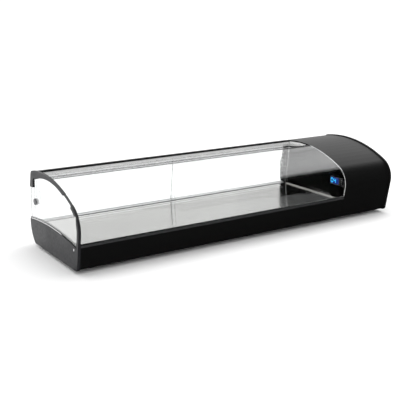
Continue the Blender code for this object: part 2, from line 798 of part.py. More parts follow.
def partition_wall():
    """Moulded wall between the display and the machine, with the controller's window and tube holes."""
    inset = SHEET + 0.0020
    x0, x1 = HOOD_LEFT + 0.0004, HOOD_LEFT + 0.0004 + PARTITION_THICKNESS
    wall = prism_x("partition_wall", run(0, 10 - 1e-6, inset)[:-1], x0, x1, "satin_black")
    width, height = CONTROLLER_WIDTH - 0.006, CONTROLLER_HEIGHT - 0.006
    window = [(CONTROLLER_Y + a, CONTROLLER_Z + b) for a, b in rounded_rectangle(width, height, 0.002)]
    boolean(wall, prism_x("controller_window", window, x0 - 0.01, x1 + 0.01, None))
    for k, y in enumerate((COIL_FRONT, COIL_FRONT + 5 * COIL_PITCH)):
        profile = [(0.0, -0.01), (0.0064, -0.01), (0.0064, 0.01), (0.0, 0.01)]
        boolean(wall, turned(f"tube_hole_{k}", profile, (x0, y, COIL_HEIGHT), "X", None, 16))
    return wall


def vent_panel():
    """Rear panel of the machine end: rows of louvres, and cut-outs for the inlet and the switch."""
    top = station_where(BACK, 1, 0.2360, SKIN)
    low = station_where(BACK, 1, 0.0985, SKIN, 3)
    section = strip(top, low, SKIN, SKIN + 0.0020)
    panel = prism_x("vent_panel", section, HOOD_LEFT + 0.0005, CAP_INSIDE - GAP, "satin_black")
    slots, blades = [], []
    for row in range(9):
        z = 0.1180 + 0.0125 * row
        y = outline_point(station_where(BACK, 1, z, SKIN, 2), SKIN).x
        for x in (0.4640, 0.5480):
            slots.append(((x, y - 0.010, z), (x + 0.0740, y + 0.010, z + 0.0045)))
            blades.append((x - 0.0010, x + 0.0750, y, z))
    boolean(panel, blocks("louvre_slots", slots, None))
    bm = bmesh.new()
    for x0, x1, y, z in blades:
        corners = ((-0.0012, 0.0052), (-0.0064, -0.0004), (-0.0056, -0.0012), (-0.0004, 0.0044))
        left = [bm.verts.new((x0, y + a, z + b)) for a, b in corners]
        right = [bm.verts.new((x1, y + a, z + b)) for a, b in corners]
        bm.faces.new(left)
        bm.faces.new(right[::-1])
        for k in range(4):
            bm.faces.new((left[k], left[(k + 1) % 4], right[(k + 1) % 4], right[k]))
    boolean(panel, place("louvre_blades", mesh_from(bm, "louvre_blades"), None), "UNION")
    holes = (("inlet_hole", INLET_Z, 0.0280, 0.0210), ("switch_hole", SWITCH_Z, 0.0135, 0.0195))
    for name, height, width, depth in holes:
        point, angle = panel_spot(height)
        cutter = block_on_panel(name, width, depth, -0.010, 0.010, None)
        cutter.location, cutter.rotation_euler.x = (PANEL_FITTINGS_X, point.x, point.y), angle
        boolean(panel, cutter)
    return panel


# ---------------------------------------------------------------- machine compartment


def blocks(name, corners, material):
    """Several plain blocks in one mesh, as a helper for a Boolean."""
    bm = bmesh.new()
    for low, high in corners:
        low, high = Vector(low), Vector(high)
        scale = Matrix.Diagonal((*(high - low), 1.0))
        bmesh.ops.create_cube(bm, size=1.0, matrix=Matrix.Translation((low + high) / 2) @ scale)
    return place(name, mesh_from(bm, name), material)


def panel_spot(z):
    """((y, z), tilt) of the rear panel's outer face at a height: the tilt turns +Y outwards."""
    station = station_where(BACK, 1, z, SKIN, 2)
    here, below = outline_point(station, SKIN), outline_point(station + 0.01, SKIN)
    step = below - here
    return here, math.atan2(step.x, -step.y)


def block_on_panel(name, width, height, y0, y1, material, radius=0.0015):
    """Rounded block through a panel, drawn about the origin with +Y outwards."""
    outline = [(a, 0, b) for a, b in rounded_rectangle(width, height, radius, 3)]
    bm = prism_bmesh(outline, (0, y0, 0), (0, y1 - y0, 0))
    return place(name, mesh_from(bm, name, 30.0), material)


def seat_on_panel(obj, z, proud=0.0):
    """Moves an object drawn about the origin onto the rear panel."""
    point, angle = panel_spot(z)
    outwards = Vector((0, math.cos(angle), math.sin(angle)))
    obj.location = Vector((PANEL_FITTINGS_X, point.x, point.y)) + outwards * proud
    obj.rotation_euler.x = angle
    return obj


def mains_inlet():
    """Three-pin appliance inlet: a flange outside the panel and an open socket with its pins."""
    inlet = block_on_panel("mains_inlet", 0.0340, 0.0270, GAP, 0.0022, "satin_black", 0.003)
    boolean(inlet, block_on_panel("inlet_body", 0.0272, 0.0202, -0.0200, 0.0010, None), "UNION")
    boolean(inlet, block_on_panel("inlet_socket", 0.0236, 0.0160, -0.0180, 0.0100, None, 0.003))
    pins = []
    for x, z in ((-0.007, -0.001), (0.0, 0.002), (0.007, -0.001)):
        pins.append(((x - 0.0011, -0.0190, z - 0.0022), (x + 0.0011, -0.0040, z + 0.0022)))
    boolean(inlet, blocks("inlet_pins", pins, None), "UNION")
    for helper in ("inlet_body", "inlet_socket", "inlet_pins"):
        seat_on_panel(bpy.data.objects[helper], INLET_Z)
    return seat_on_panel(inlet, INLET_Z)


def switch_frame():
    """Frame and body of the power switch."""
    frame = block_on_panel("switch_frame", 0.0170, 0.0230, GAP, 0.0020, "satin_black", 0.002)
    boolean(frame, block_on_panel("switch_body", 0.0127, 0.0187, -0.0180, 0.0010, None), "UNION")
    boolean(frame, block_on_panel("switch_well", 0.0105, 0.0165, -0.0080, 0.0100, None, 0.001))
    for helper in ("switch_body", "switch_well"):
        seat_on_panel(bpy.data.objects[helper], SWITCH_Z)
    return seat_on_panel(frame, SWITCH_Z)


def power_rocker():
    """Rocker of the power switch, drawn in its off position about its pivot."""
    section = [
        (-0.0040, -0.0050), (0.0010, -0.0074), (0.0026, -0.0076), (0.0006, 0.0),
        (0.0014, 0.0076), (-0.0002, 0.0074), (-0.0040, 0.0050),
    ]
    tilt = Matrix.Rotation(math.radians(-6.0), 2)
    section = [tilt @ Vector(point) for point in section]
    rocker = prism_x("power_rocker", section, -0.0048, 0.0048, "satin_black", 15.0)
    return seat_on_panel(rocker, SWITCH_Z)


def compressor():
    """Hermetic compressor: a drawn two-part shell, seam-welded, on a mounting plate."""
    profile = [
        (0.0, 0.0315), (0.036, 0.0315), (0.050, 0.040), (0.0550, 0.052), (0.0560, 0.088),
        (0.0590, 0.0890), (0.0590, 0.0930), (0.0560, 0.0940), (0.0550, 0.125), (0.0490, 0.146),
        (0.0340, 0.158), (0.0140, 0.162), (0.0, 0.1625),
    ]
    location = (COMPRESSOR_X, COMPRESSOR_Y, 0.0)
    body = turned("compressor", profile, location, "Z", "machine_black", 32)
    plate = prism_z("compressor_plate", rounded_rectangle(0.112, 0.112, 0.014), 0.0312, 0.0335, None)
    plate.location = location
    return boolean(body, plate, "UNION")


def compressor_grommet(number):
    """Rubber mount under one corner of the compressor's plate."""
    sx, sy = (1, -1)[number % 2], (1, -1)[number // 2]
    base = SHEET + FOOT_HEIGHT + PAN_SHEET + GAP
    profile = [
        (0.0, base), (0.0095, base), (0.0095, base + 0.0040), (0.0070, base + 0.0052),
        (0.0085, 0.0290), (0.0085, 0.0308), (0.0, 0.0308),
    ]
    location = (COMPRESSOR_X + sx * 0.044, COMPRESSOR_Y + sy * 0.044, 0.0)
    return turned(f"compressor_grommet_{number + 1}", profile, location, "Z", "rubber", 18)


def terminal_cover():
    """Clip-on cover over the compressor's terminals and starter."""
    cover = box("terminal_cover", (0.610, -0.118, 0.100), (0.668, -0.072, 0.142), "satin_black")
    profile = [(0.0, 0.020), (0.0566, 0.020), (0.0566, 0.1245), (0.0510, 0.1475), (0.0, 0.1640)]
    location = (COMPRESSOR_X, COMPRESSOR_Y, 0)
    return boolean(cover, turned("shell_clearance", profile, location, "Z", None, 32))


def condenser():
    """Finned condenser: plates on both sides of a tube core, between two end sheets."""
    x0, x1, pitch, half = 0.4800, 0.6400, 0.0040, 0.0004
    y0, core_front, core_back, y1 = 0.1460, 0.1590, 0.1650, 0.1780
    count = int(round((x1 - x0) / pitch))
    front, back = [], []
    for k in range(count + 1):
        x = x0 + k * pitch
        front += [(x - half, core_front), (x - half, y0), (x + half, y0), (x + half, core_front)]
        back += [(x - half, core_back), (x - half, y1), (x + half, y1), (x + half, core_back)]
    return prism_z("condenser", front + back[::-1], 0.0480, 0.1920, "aluminium", smooth_below=0.0)


def fan_shroud():
    """Shroud plate on the condenser, with a ring around the blades and three arms to the motor's collar."""
    low, high = (0.4900, 0.1415, 0.0500), (0.6300, 0.1450, 0.1900)
    shroud = box("fan_shroud", low, high, "satin_black")
    centre = (FAN_X, 0.0, FAN_Z)
    inside, outside = FAN_RADIUS + 0.0020, FAN_RADIUS + 0.0055
    ring = [(inside, 0.1160), (outside, 0.1160), (outside, 0.1430), (inside, 0.1430)]
    boolean(shroud, ring_of("shroud_ring", ring, centre), "UNION")
    collar = [(0.0306, 0.1080), (0.0330, 0.1080), (0.0330, 0.1200), (0.0306, 0.1200)]
    boolean(shroud, ring_of("motor_collar", collar, centre), "UNION")
    bm = bmesh.new()
    for k in range(3):
        arm = Matrix.Translation((0.0456, 0.1180, 0.0)) @ Matrix.Diagonal((0.0276, 0.0034, 0.0070, 1.0))
        spin = Matrix.Translation(centre) @ Matrix.Rotation(math.radians(90 + 120 * k), 4, "Y")
        bmesh.ops.create_cube(bm, size=1.0, matrix=spin @ arm)
    boolean(shroud, place("shroud_arms", mesh_from(bm, "shroud_arms"), None), "UNION")
    bore = [(0.0, 0.1202), (FAN_RADIUS + 0.0030, 0.1202), (FAN_RADIUS + 0.0030, 0.1600), (0.0, 0.1600)]
    return boolean(shroud, turned("shroud_bore", bore, centre, "Y", None, 32))


def ring_of(name, section, centre, steps=32):
    """A closed ring turned from a (radius, y) section about Y."""
    bm = bmesh.new()
    loops = []
    for k in range(steps):
        cosine, sine = math.cos(math.tau * k / steps), math.sin(math.tau * k / steps)
        loops.append([bm.verts.new((centre[0] + r * cosine, h, centre[2] + r * sine)) for r, h in section])
    count = len(section)
    for k in range(steps):
        here, ahead = loops[k], loops[(k + 1) % steps]
        for n in range(count):
            bm.faces.new((here[n], here[(n + 1) % count], ahead[(n + 1) % count], ahead[n]))
    return place(name, mesh_from(bm, name, 35.0), None)


def fan_motor():
    """Shaded-pole motor held in the collar, with its shaft towards the blades."""
    profile = [
        (0.0, 0.0860), (0.0220, 0.0860), (0.0260, 0.0880), (0.0302, 0.0930), (0.0302, 0.1195),
        (0.0100, 0.1215), (0.0028, 0.1215), (0.0028, 0.1270), (0.0, 0.1270),
    ]
    return turned("fan_motor", profile, (FAN_X, 0.0, FAN_Z), "Y", "galvanised", 28)


def fan_rotor():
    """Axial fan: a hub with five twisted blades, about its own origin."""
    start = (FAN_X, 0.1236, FAN_Z)
    profile = [
        (0.0, 0.0044), (0.0034, 0.0044), (0.0034, 0.0), (0.0160, 0.0),
        (0.0180, 0.0018), (0.0180, 0.0120), (0.0130, 0.0146), (0.0, 0.0152),
    ]
    rotor = turned("fan_rotor", profile, start, "Y", "fan_grey", 30)
    bm = bmesh.new()
    for blade in range(5):
        rows = []
        for n in range(6):
            share = n / 5
            radius = 0.0150 + (FAN_RADIUS - 0.0150) * share
            pitch = math.radians(48 - 24 * share)
            chord = 0.0170 + 0.0150 * share
            sweep = math.radians(72 * blade + 26 * share)
            row = []
            for m in range(5):
                along = chord * (m / 4 - 0.5)
                camber = 0.0016 * (1 - (m / 2 - 1) ** 2)
                angle = sweep + along * math.cos(pitch) / radius
                middle = 0.0066 + along * math.sin(pitch) * 0.42 + camber
                row.append((radius * math.cos(angle), middle, radius * math.sin(angle)))
            rows.append(row)
        sides = []
        for offset in (-0.0006, 0.0006):
            sides.append([[bm.verts.new((x, y + offset, z)) for x, y, z in row] for row in rows])
        low, high = sides
        for n in range(5):
            for m in range(4):
                bm.faces.new((low[n][m], low[n][m + 1], low[n + 1][m + 1], low[n + 1][m]))
                bm.faces.new((high[n][m], high[n + 1][m], high[n + 1][m + 1], high[n][m + 1]))
        rim = [(n, 0) for n in range(5)] + [(5, m) for m in range(4)]
        rim += [(n, 4) for n in range(5, 0, -1)] + [(0, m) for m in range(4, 0, -1)]
        for (n, m), (p, q) in zip(rim, rim[1:] + rim[:1]):
            bm.faces.new((low[n][m], low[p][q], high[p][q], high[n][m]))
    blades = place("fan_blades", mesh_from(bm, "fan_blades"), None, start)
    return boolean(rotor, blades, "UNION")


def filter_drier():
    """Copper filter drier, spun down to the tube at both ends."""
    profile = [
        (0.0, 0.0700), (0.0035, 0.0700), (0.0040, 0.0760), (0.0095, 0.0860),
        (0.0095, 0.1320), (0.0030, 0.1430), (0.0022, 0.1500), (0.0, 0.1500),
    ]
    return turned("filter_drier", profile, (0.668, 0.090, 0.0), "Z", "copper", 20)


def pipe(name, corners, radius, bend=0.010):
    """A bent copper tube through these corners."""
    return tube(name, bend_path(corners, bend), radius, "copper")


def refrigerant_lines():
    """The four tubes that join the compressor, condenser, drier and coil."""
    shell = 0.0570
    front, rear = COIL_FRONT, COIL_FRONT + 5 * COIL_PITCH
    side = COMPRESSOR_X - shell
    suction = [
        (0.4786, front, COIL_HEIGHT), (0.5000, front, COIL_HEIGHT), (0.5000, COMPRESSOR_Y, COIL_HEIGHT),
        (0.5000, COMPRESSOR_Y, 0.0650), (side, COMPRESSOR_Y, 0.0650),
    ]
    discharge = [
        (COMPRESSOR_X, COMPRESSOR_Y + shell, 0.0700), (COMPRESSOR_X, 0.005, 0.0700),
        (0.654, 0.005, 0.0700), (0.654, 0.162, 0.0700), (0.6412, 0.162, 0.0700),
    ]
    liquid = [
        (0.6412, 0.162, 0.0560), (0.668, 0.162, 0.0560),
        (0.668, 0.090, 0.0560), (0.668, 0.090, 0.0694),
    ]
    capillary = [
        (0.668, 0.090, 0.1506), (0.668, 0.090, 0.168), (0.668, 0.045, 0.168), (0.490, 0.045, 0.168),
        (0.490, 0.045, COIL_HEIGHT), (0.490, rear, COIL_HEIGHT), (0.4786, rear, COIL_HEIGHT),
    ]
    pipe("suction_line", suction, 0.0040, 0.008)
    pipe("discharge_line", discharge, 0.0026)
    pipe("liquid_line", liquid, 0.0026)
    pipe("capillary", capillary, 0.0012)


# ---------------------------------------------------------------- controller


def controller_plate(name, width, height, x0, x1, material, radius=0.002, dy=0.0, dz=0.0):
    """Rounded block on the controller's face, offset from its middle."""
    middle = Vector((CONTROLLER_Y + dy, CONTROLLER_Z + dz))
    outline = [middle + Vector(point) for point in rounded_rectangle(width, height, radius, 3)]
    return prism_x(name, outline, x0, x1, material, 30.0)


def controller_bezel():
    """Snap-in controller: a bezel on the display side and a case behind the wall."""
    face = HOOD_LEFT - 0.0036
    bezel = controller_plate("controller_bezel", CONTROLLER_WIDTH, CONTROLLER_HEIGHT - 0.002,
                             face, HOOD_LEFT, "satin_black")
    width, height = CONTROLLER_WIDTH - 0.0068, CONTROLLER_HEIGHT - 0.0068
    case = controller_plate("controller_case", width, height, face + 0.001, HOOD_LEFT + 0.0300, None)
    boolean(bezel, case, "UNION")
    lens = controller_plate("lens_recess", 0.0466, 0.0256, face - 0.002, face + 0.0012,
                            None, 0.0015, LENS_SHIFT)
    boolean(bezel, lens)
    for k in range(3):
        well = controller_plate(f"button_well_{k}", 0.0168, 0.0068, face - 0.002, face + 0.0046,
                                None, 0.0012, BUTTON_SHIFT, BUTTON_PITCH * (1 - k))
        boolean(bezel, well)
    return bezel


def controller_lens():
    """Window over the digits."""
    face = HOOD_LEFT - 0.0036
    return controller_plate("controller_lens", 0.0458, 0.0248, face - 0.0002, face + 0.0008,
                            "lens_blue", 0.0012, LENS_SHIFT)


def controller_button(number):
    """Push button in its well, about its own middle."""
    face = HOOD_LEFT - 0.0036
    name = f"controller_button_{number + 1}"
    return controller_plate(name, 0.0160, 0.0060, face - 0.0009, face + 0.0034,
                            "buffer_grey", 0.0010, BUTTON_SHIFT, BUTTON_PITCH * (1 - number))


# ---------------------------------------------------------------- doors' pulls and feet


def door_pull(side):
    """Shallow finger pull bonded to the rear of a door, just clear of its jamb or the buffer."""
    x0, x1 = door_span(side)
    x = x0 + 0.0168 if side == "left" else x1 - 0.0235
    face = (DOOR_PITCH if side == "left" else 0.0) + DOOR_THICKNESS / 2 + GAP
    half_section = [(0.0080, 0.0), (0.0080, 0.0008), (0.0038, 0.0014), (0.0028, 0.0044)]
    section = [(x + a, face + b) for a, b in half_section]
    section += [(x - a, face + b) for a, b in reversed(half_section)]
    return slanted_prism(f"{side}_door_pull", section, -0.0240, 0.0240, "clear_acrylic")


def foot(number):
    """Rubber foot with a moulded tread, screwed to the pan."""
    sx, sy = (-1, 1)[number % 2], (-1, 1)[number // 2]
    profile = [
        (0.0, 0.0), (0.0140, 0.0), (0.0150, 0.0010), (0.0175, 0.0120),
        (0.0175, 0.0150), (0.0160, 0.0174), (0.0, 0.0174),
    ]
    names = ("foot_front_left", "foot_front_right", "foot_rear_left", "foot_rear_right")
    location = (sx * 0.628, 0.0075 + sy * 0.1330, 0.0)
    return turned(names[number], profile, location, "Z", "rubber", 24)


def build():
    """Makes every part in order."""
    clear_scene()
    base_pan()
    for number in range(4):
        foot(number)
    front_fascia()
    glass_channel()
    insulation_block()
    evaporator_coil()
    deck_plate()
    lower_track()
    front_glass()
    top_glass()
    glass_seam()
    top_rail()
    left_end_cap()
    left_side_pane()
    left_glazing_bead()
    left_top_bracket()
    cap_screw(-1, "left_cap_screw")
    cap_screw(1, "right_cap_screw")
    left_arc_trim()
    door_buffer("left_door_buffer", -CAP_INSIDE - 0.0032, -CAP_INSIDE + 0.0065, *LEFT_BUFFER)
    left_buffer_cap()
    door_buffer("right_door_buffer", HOOD_LEFT - 0.0004, HOOD_LEFT - 0.0154, *RIGHT_BUFFER)
    left_door_jamb()
    right_door_jamb()
    for side in ("left", "right"):
        door(side)
        door_pull(side)
    right_end_cap()
    hood()
    partition_wall()
    vent_panel()
    compressor()
    for number in range(4):
        compressor_grommet(number)
    terminal_cover()
    condenser()
    fan_shroud()
    fan_motor()
    fan_rotor()
    filter_drier()
    refrigerant_lines()
    mains_inlet()
    switch_frame()
    power_rocker()
    controller_bezel()
    controller_lens()
    for number in range(3):
        controller_button(number)


build()
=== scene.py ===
"""Looks for the countertop refrigerated display case: finishes, added detail, studio and camera."""

import logging
import math
from collections.abc import Callable, Iterable, Sequence
from dataclasses import dataclass, field
from enum import Enum

import bpy
import numpy as np
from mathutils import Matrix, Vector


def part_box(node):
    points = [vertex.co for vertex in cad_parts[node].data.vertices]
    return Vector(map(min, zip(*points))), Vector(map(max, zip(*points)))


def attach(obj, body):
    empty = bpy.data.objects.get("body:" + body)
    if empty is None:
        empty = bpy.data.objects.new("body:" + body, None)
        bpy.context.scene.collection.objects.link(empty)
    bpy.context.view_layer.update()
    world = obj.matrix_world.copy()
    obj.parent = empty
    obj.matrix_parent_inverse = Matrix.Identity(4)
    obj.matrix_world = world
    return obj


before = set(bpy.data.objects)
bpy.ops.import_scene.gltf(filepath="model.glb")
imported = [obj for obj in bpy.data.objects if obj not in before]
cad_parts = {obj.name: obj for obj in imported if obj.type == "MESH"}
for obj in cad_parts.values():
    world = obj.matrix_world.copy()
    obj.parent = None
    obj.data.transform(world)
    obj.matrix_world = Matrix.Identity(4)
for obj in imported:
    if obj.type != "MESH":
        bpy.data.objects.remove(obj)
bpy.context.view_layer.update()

log = logging.getLogger("display_case")

Colour = tuple[float, float, float]
Point = Sequence[float]
Socket = bpy.types.NodeSocket


class Pattern(Enum):
    """Shared surface effects, each built once as a node group."""

    GRAIN = "moulded_grain"
    ORANGE_PEEL = "paint_orange_peel"
    BRUSHING = "brushed_lines"
    HANDLING = "handling_marks"
    DUST = "settled_dust"
    EDGE_WEAR = "edge_wear"
    WAVINESS = "sheet_waviness"


# ---------------------------------------------------------------- node building


class Shader:
    """A material's or a group's node tree, with short calls to add and join nodes."""

    def __init__(self, tree: bpy.types.NodeTree) -> None:
        """Keeps the tree that the calls work on."""
        self.tree = tree

    def add(self, kind: str, **settings: object) -> bpy.types.Node:
        """Adds a node.

        Args:
            kind: The node's type name.
            settings: Properties to set on it.

        Returns:
            The new node.
        """
        node = self.tree.nodes.new(kind)
        for name, value in settings.items():
            setattr(node, name, value)
        return node

    def join(self, source: Socket, target: Socket) -> None:
        """Joins an output to an input."""
        self.tree.links.new(source, target)

    def feed(self, target: Socket, value: object) -> None:
        """Joins a socket, or sets a plain value, on an input."""
        if isinstance(value, Socket):
            self.join(value, target)
        else:
            target.default_value = value

    def math(self, operation: str, *values: object) -> Socket:
        """Adds a Math node.

        Args:
            operation: The Math node's operation.
            values: Its inputs, each a socket or a number.

        Returns:
            Its output socket.
        """
        node = self.add("ShaderNodeMath", operation=operation)
        for target, value in zip(node.inputs, values):
            self.feed(target, value)
        return node.outputs[0]

    def spread(self, value: object, low: float, high: float, to_low: float, to_high: float) -> Socket:
        """Adds a clamped Map Range node.

        Args:
            value: The socket to map.
            low: Where the input range starts.
            high: Where it ends.
            to_low: The result at the start.
            to_high: The result at the end.

        Returns:
            Its output socket.
        """
        node = self.add("ShaderNodeMapRange")
        for name, number in (("From Min", low), ("From Max", high), ("To Min", to_low), ("To Max", to_high)):
            node.inputs[name].default_value = number
        self.feed(node.inputs["Value"], value)
        return node.outputs["Result"]

    def blend(self, share: object, first: object, second: object) -> Socket:
        """Adds a colour Mix node.

        Args:
            share: How much of the second colour there is.
            first: A colour or a socket.
            second: A colour or a socket.

        Returns:
            Its colour output.
        """
        node = self.add("ShaderNodeMix", data_type="RGBA")
        self.feed(node.inputs["Factor"], share)
        self.feed(node.inputs["A"], rgba(first))
        self.feed(node.inputs["B"], rgba(second))
        return node.outputs["Result"]

    def place(self, scale: Point = (1, 1, 1)) -> Socket:
        """Object coordinates, scaled along each axis."""
        coordinates = self.add("ShaderNodeTexCoord")
        mapping = self.add("ShaderNodeMapping")
        mapping.inputs["Scale"].default_value = tuple(scale)
        self.join(coordinates.outputs["Object"], mapping.inputs["Vector"])
        return mapping.outputs["Vector"]

    def noise(self, where: Socket, scale: object, detail: float = 2.0, rough: float = 0.5) -> Socket:
        """Adds a Noise Texture.

        Args:
            where: The coordinates.
            scale: Its scale, a number or a socket.
            detail: Octaves of finer noise.
            rough: How strong the finer octaves are.

        Returns:
            Its value output.
        """
        node = self.add("ShaderNodeTexNoise")
        self.join(where, node.inputs["Vector"])
        self.feed(node.inputs["Scale"], scale)
        node.inputs["Detail"].default_value = detail
        node.inputs["Roughness"].default_value = rough
        return node.outputs["Fac"]

    def bump(
        self, height: Socket, distance: float, strength: float = 1.0, under: Socket | None = None
    ) -> Socket:
        """Adds a Bump node.

        Args:
            height: The height's socket.
            distance: The height in metres that a value of 1 stands for.
            strength: The share of it that shows.
            under: A normal that this one builds on.

        Returns:
            Its normal output.
        """
        node = self.add("ShaderNodeBump")
        node.inputs["Distance"].default_value = distance
        node.inputs["Strength"].default_value = strength
        self.join(height, node.inputs["Height"])
        if under is not None:
            self.join(under, node.inputs["Normal"])
        return node.outputs["Normal"]


def rgba(value: object) -> object:
    """A colour with an alpha of 1, or the socket unchanged."""
    return (*value, 1.0) if isinstance(value, tuple) and len(value) == 3 else value


def shade(colour: Colour, gain: float, lift: float = 0.0) -> Colour:
    """A colour times a gain plus a lift, kept at or below 1."""
    return tuple(min(1.0, part * gain + lift) for part in colour)


def effect_group(
    pattern: Pattern, inputs: dict[str, float], outputs: Iterable[str], build: Callable[[Shader, dict], dict]
) -> bpy.types.NodeTree:
    """Makes a shared node group once.

    Args:
        pattern: Which effect it is, which names the group.
        inputs: Its float inputs and their defaults.
        outputs: Its float outputs.
        build: Takes the shader and the input sockets, and gives a socket for each output.

    Returns:
        The group.
    """
    found = bpy.data.node_groups.get(pattern.value)
    if found:
        return found
    tree = bpy.data.node_groups.new(pattern.value, "ShaderNodeTree")
    for name, value in inputs.items():
        socket = tree.interface.new_socket(name, in_out="INPUT", socket_type="NodeSocketFloat")
        socket.default_value = value
    for name in outputs:
        tree.interface.new_socket(name, in_out="OUTPUT", socket_type="NodeSocketFloat")
    shader = Shader(tree)
    entry = shader.add("NodeGroupInput")
    result = shader.add("NodeGroupOutput")
    for name, socket in build(shader, {name: entry.outputs[name] for name in inputs}).items():
        shader.join(socket, result.inputs[name])
    return tree


def grain_nodes(shader: Shader, given: dict) -> dict:
    """Fine cell grain with a broader mottle, as on a textured moulding."""
    where = shader.place()
    fine = shader.noise(where, given["Scale"], 3.0, 0.6)
    broad = shader.noise(where, shader.math("MULTIPLY", given["Scale"], 0.06), 2.0)
    return {"Height": fine, "Mottle": broad}


def peel_nodes(shader: Shader, given: dict) -> dict:
    """The soft dimples of sprayed paint: smooth noise whose mid tones are flattened."""
    where = shader.place()
    dimples = shader.noise(where, given["Scale"], 1.0, 0.3)
    return {"Height": shader.spread(dimples, 0.3, 0.7, 0.0, 1.0), "Mottle": shader.noise(where, 6.0, 2.0)}


def handling_nodes(shader: Shader, given: dict) -> dict:
    """Smears and wiping marks: stretched noise, kept where a broad noise is high."""
    finer = shader.math("MULTIPLY", given["Scale"], 4.0)
    streaks = shader.noise(shader.place((1.0, 3.0, 3.0)), finer, 4.0, 0.65)
    patches = shader.spread(shader.noise(shader.place(), given["Scale"], 3.0), 0.45, 0.75, 0.0, 1.0)
    return {"Mask": shader.math("MULTIPLY", streaks, patches)}


def dust_nodes(shader: Shader, given: dict) -> dict:
    """Dust that settles where a surface faces upwards, broken up by fine noise."""
    geometry = shader.add("ShaderNodeNewGeometry")
    split = shader.add("ShaderNodeSeparateXYZ")
    shader.join(geometry.outputs["Normal"], split.inputs[0])
    upward = shader.spread(split.outputs["Z"], 0.2, 1.0, 0.0, 1.0)
    specks = shader.spread(shader.noise(shader.place(), 420.0, 4.0, 0.7), 0.4, 0.8, 0.2, 1.0)
    return {"Mask": shader.math("MULTIPLY", shader.math("MULTIPLY", upward, specks), given["Amount"])}


def wear_nodes(shader: Shader, given: dict) -> dict:
    """Rubbed edges: where the mesh is pointed, broken up by noise."""
    geometry = shader.add("ShaderNodeNewGeometry")
    pointed = shader.spread(geometry.outputs["Pointiness"], 0.52, 0.60, 0.0, 1.0)
    broken = shader.spread(shader.noise(shader.place(), 160.0, 3.0), 0.35, 0.65, 0.2, 1.0)
    return {"Mask": shader.math("MULTIPLY", shader.math("MULTIPLY", pointed, broken), given["Amount"])}


def wave_nodes(shader: Shader, given: dict) -> dict:
    """The long shallow waves of rolled or blown sheet."""
    where = shader.place((0.35, 1.0, 1.0))
    return {"Height": shader.noise(where, given["Scale"], 1.0, 0.4)}


def brushing_nodes(shader: Shader, given: dict) -> dict:
    """Lines of brushing along the case: noise stretched some eightyfold, fine over broad."""
    where = shader.place((0.012, 1.0, 1.0))
    fine = shader.noise(where, given["Scale"], 4.0, 0.7)
    broad = shader.noise(where, shader.math("MULTIPLY", given["Scale"], 0.12), 2.0)
    return {"Height": fine, "Mottle": broad}


def effect(shader: Shader, pattern: Pattern, **values: float) -> dict:
    """Places a shared effect in a material.

    Args:
        shader: The material's shader.
        pattern: The effect.
        values: Its inputs, by name.

    Returns:
        Its output sockets, by name.
    """
    recipes = {
        Pattern.GRAIN: ({"Scale": 1800.0}, ("Height", "Mottle"), grain_nodes),
        Pattern.ORANGE_PEEL: ({"Scale": 420.0}, ("Height", "Mottle"), peel_nodes),
        Pattern.BRUSHING: ({"Scale": 900.0}, ("Height", "Mottle"), brushing_nodes),
        Pattern.HANDLING: ({"Scale": 14.0}, ("Mask",), handling_nodes),
        Pattern.DUST: ({"Amount": 0.3}, ("Mask",), dust_nodes),
        Pattern.EDGE_WEAR: ({"Amount": 0.5}, ("Mask",), wear_nodes),
        Pattern.WAVINESS: ({"Scale": 9.0}, ("Height",), wave_nodes),
    }
    node = shader.add("ShaderNodeGroup")
    node.node_tree = effect_group(pattern, *recipes[pattern])
    for name, value in values.items():
        node.inputs[name].default_value = value
    return {output.name: output for output in node.outputs}


# ---------------------------------------------------------------- finishes


@dataclass(frozen=True)
class Finish:
    """A finish for one kind of surface. Each kind dresses a new material in its own way."""

    name: str
    colour: Colour
    roughness: float

    def material(self) -> bpy.types.Material:
        """The material of this finish, made on first use."""
        found = bpy.data.materials.get(self.name)
        if found:
            return found
        made = bpy.data.materials.new(self.name)
        made.use_nodes = True
        made.node_tree.nodes.clear()
        shader = Shader(made.node_tree)
        surface = shader.add("ShaderNodeBsdfPrincipled")
        output = shader.add("ShaderNodeOutputMaterial")
        shader.join(surface.outputs[0], output.inputs["Surface"])
        surface.inputs["Base Color"].default_value = rgba(self.colour)
        surface.inputs["Roughness"].default_value = self.roughness
        self.dress(shader, surface.inputs)
        return made

    def dress(self, shader: Shader, surface: bpy.types.NodeInputs) -> None:
        """Adds this kind's detail to the shader's inputs."""
        raise NotImplementedError


@dataclass(frozen=True)
class Moulding(Finish):
    """Injection-moulded plastic or rubber with a fine grain, dust on top and rubbed edges."""

    grain: float = 1800.0
    depth: float = 0.00004
    dust: float = 0.12
    sheen: float = 0.0
    specular: float = 0.5

    def dress(self, shader: Shader, surface: bpy.types.NodeInputs) -> None:
        """Mottles the colour and the roughness, and raises the grain."""
        grain = effect(shader, Pattern.GRAIN, Scale=self.grain)
        dust = effect(shader, Pattern.DUST, Amount=self.dust)["Mask"]
        wear = effect(shader, Pattern.EDGE_WEAR, Amount=0.4)["Mask"]
        lighter = shade(self.colour, 1.5, 0.006)
        base = shader.blend(grain["Mottle"], self.colour, lighter)
        base = shader.blend(wear, base, shade(self.colour, 2.4, 0.015))
        shader.join(shader.blend(dust, base, (0.30, 0.29, 0.27)), surface["Base Color"])
        smears = effect(shader, Pattern.HANDLING, Scale=11.0)["Mask"]
        rough = shader.spread(grain["Mottle"], 0.3, 0.7, self.roughness - 0.06, self.roughness + 0.06)
        shader.join(shader.math("ADD", rough, shader.math("MULTIPLY", smears, 0.16)), surface["Roughness"])
        shader.join(shader.bump(grain["Height"], self.depth, 0.7), surface["Normal"])
        surface["Sheen Weight"].default_value = self.sheen
        surface["Specular IOR Level"].default_value = self.specular


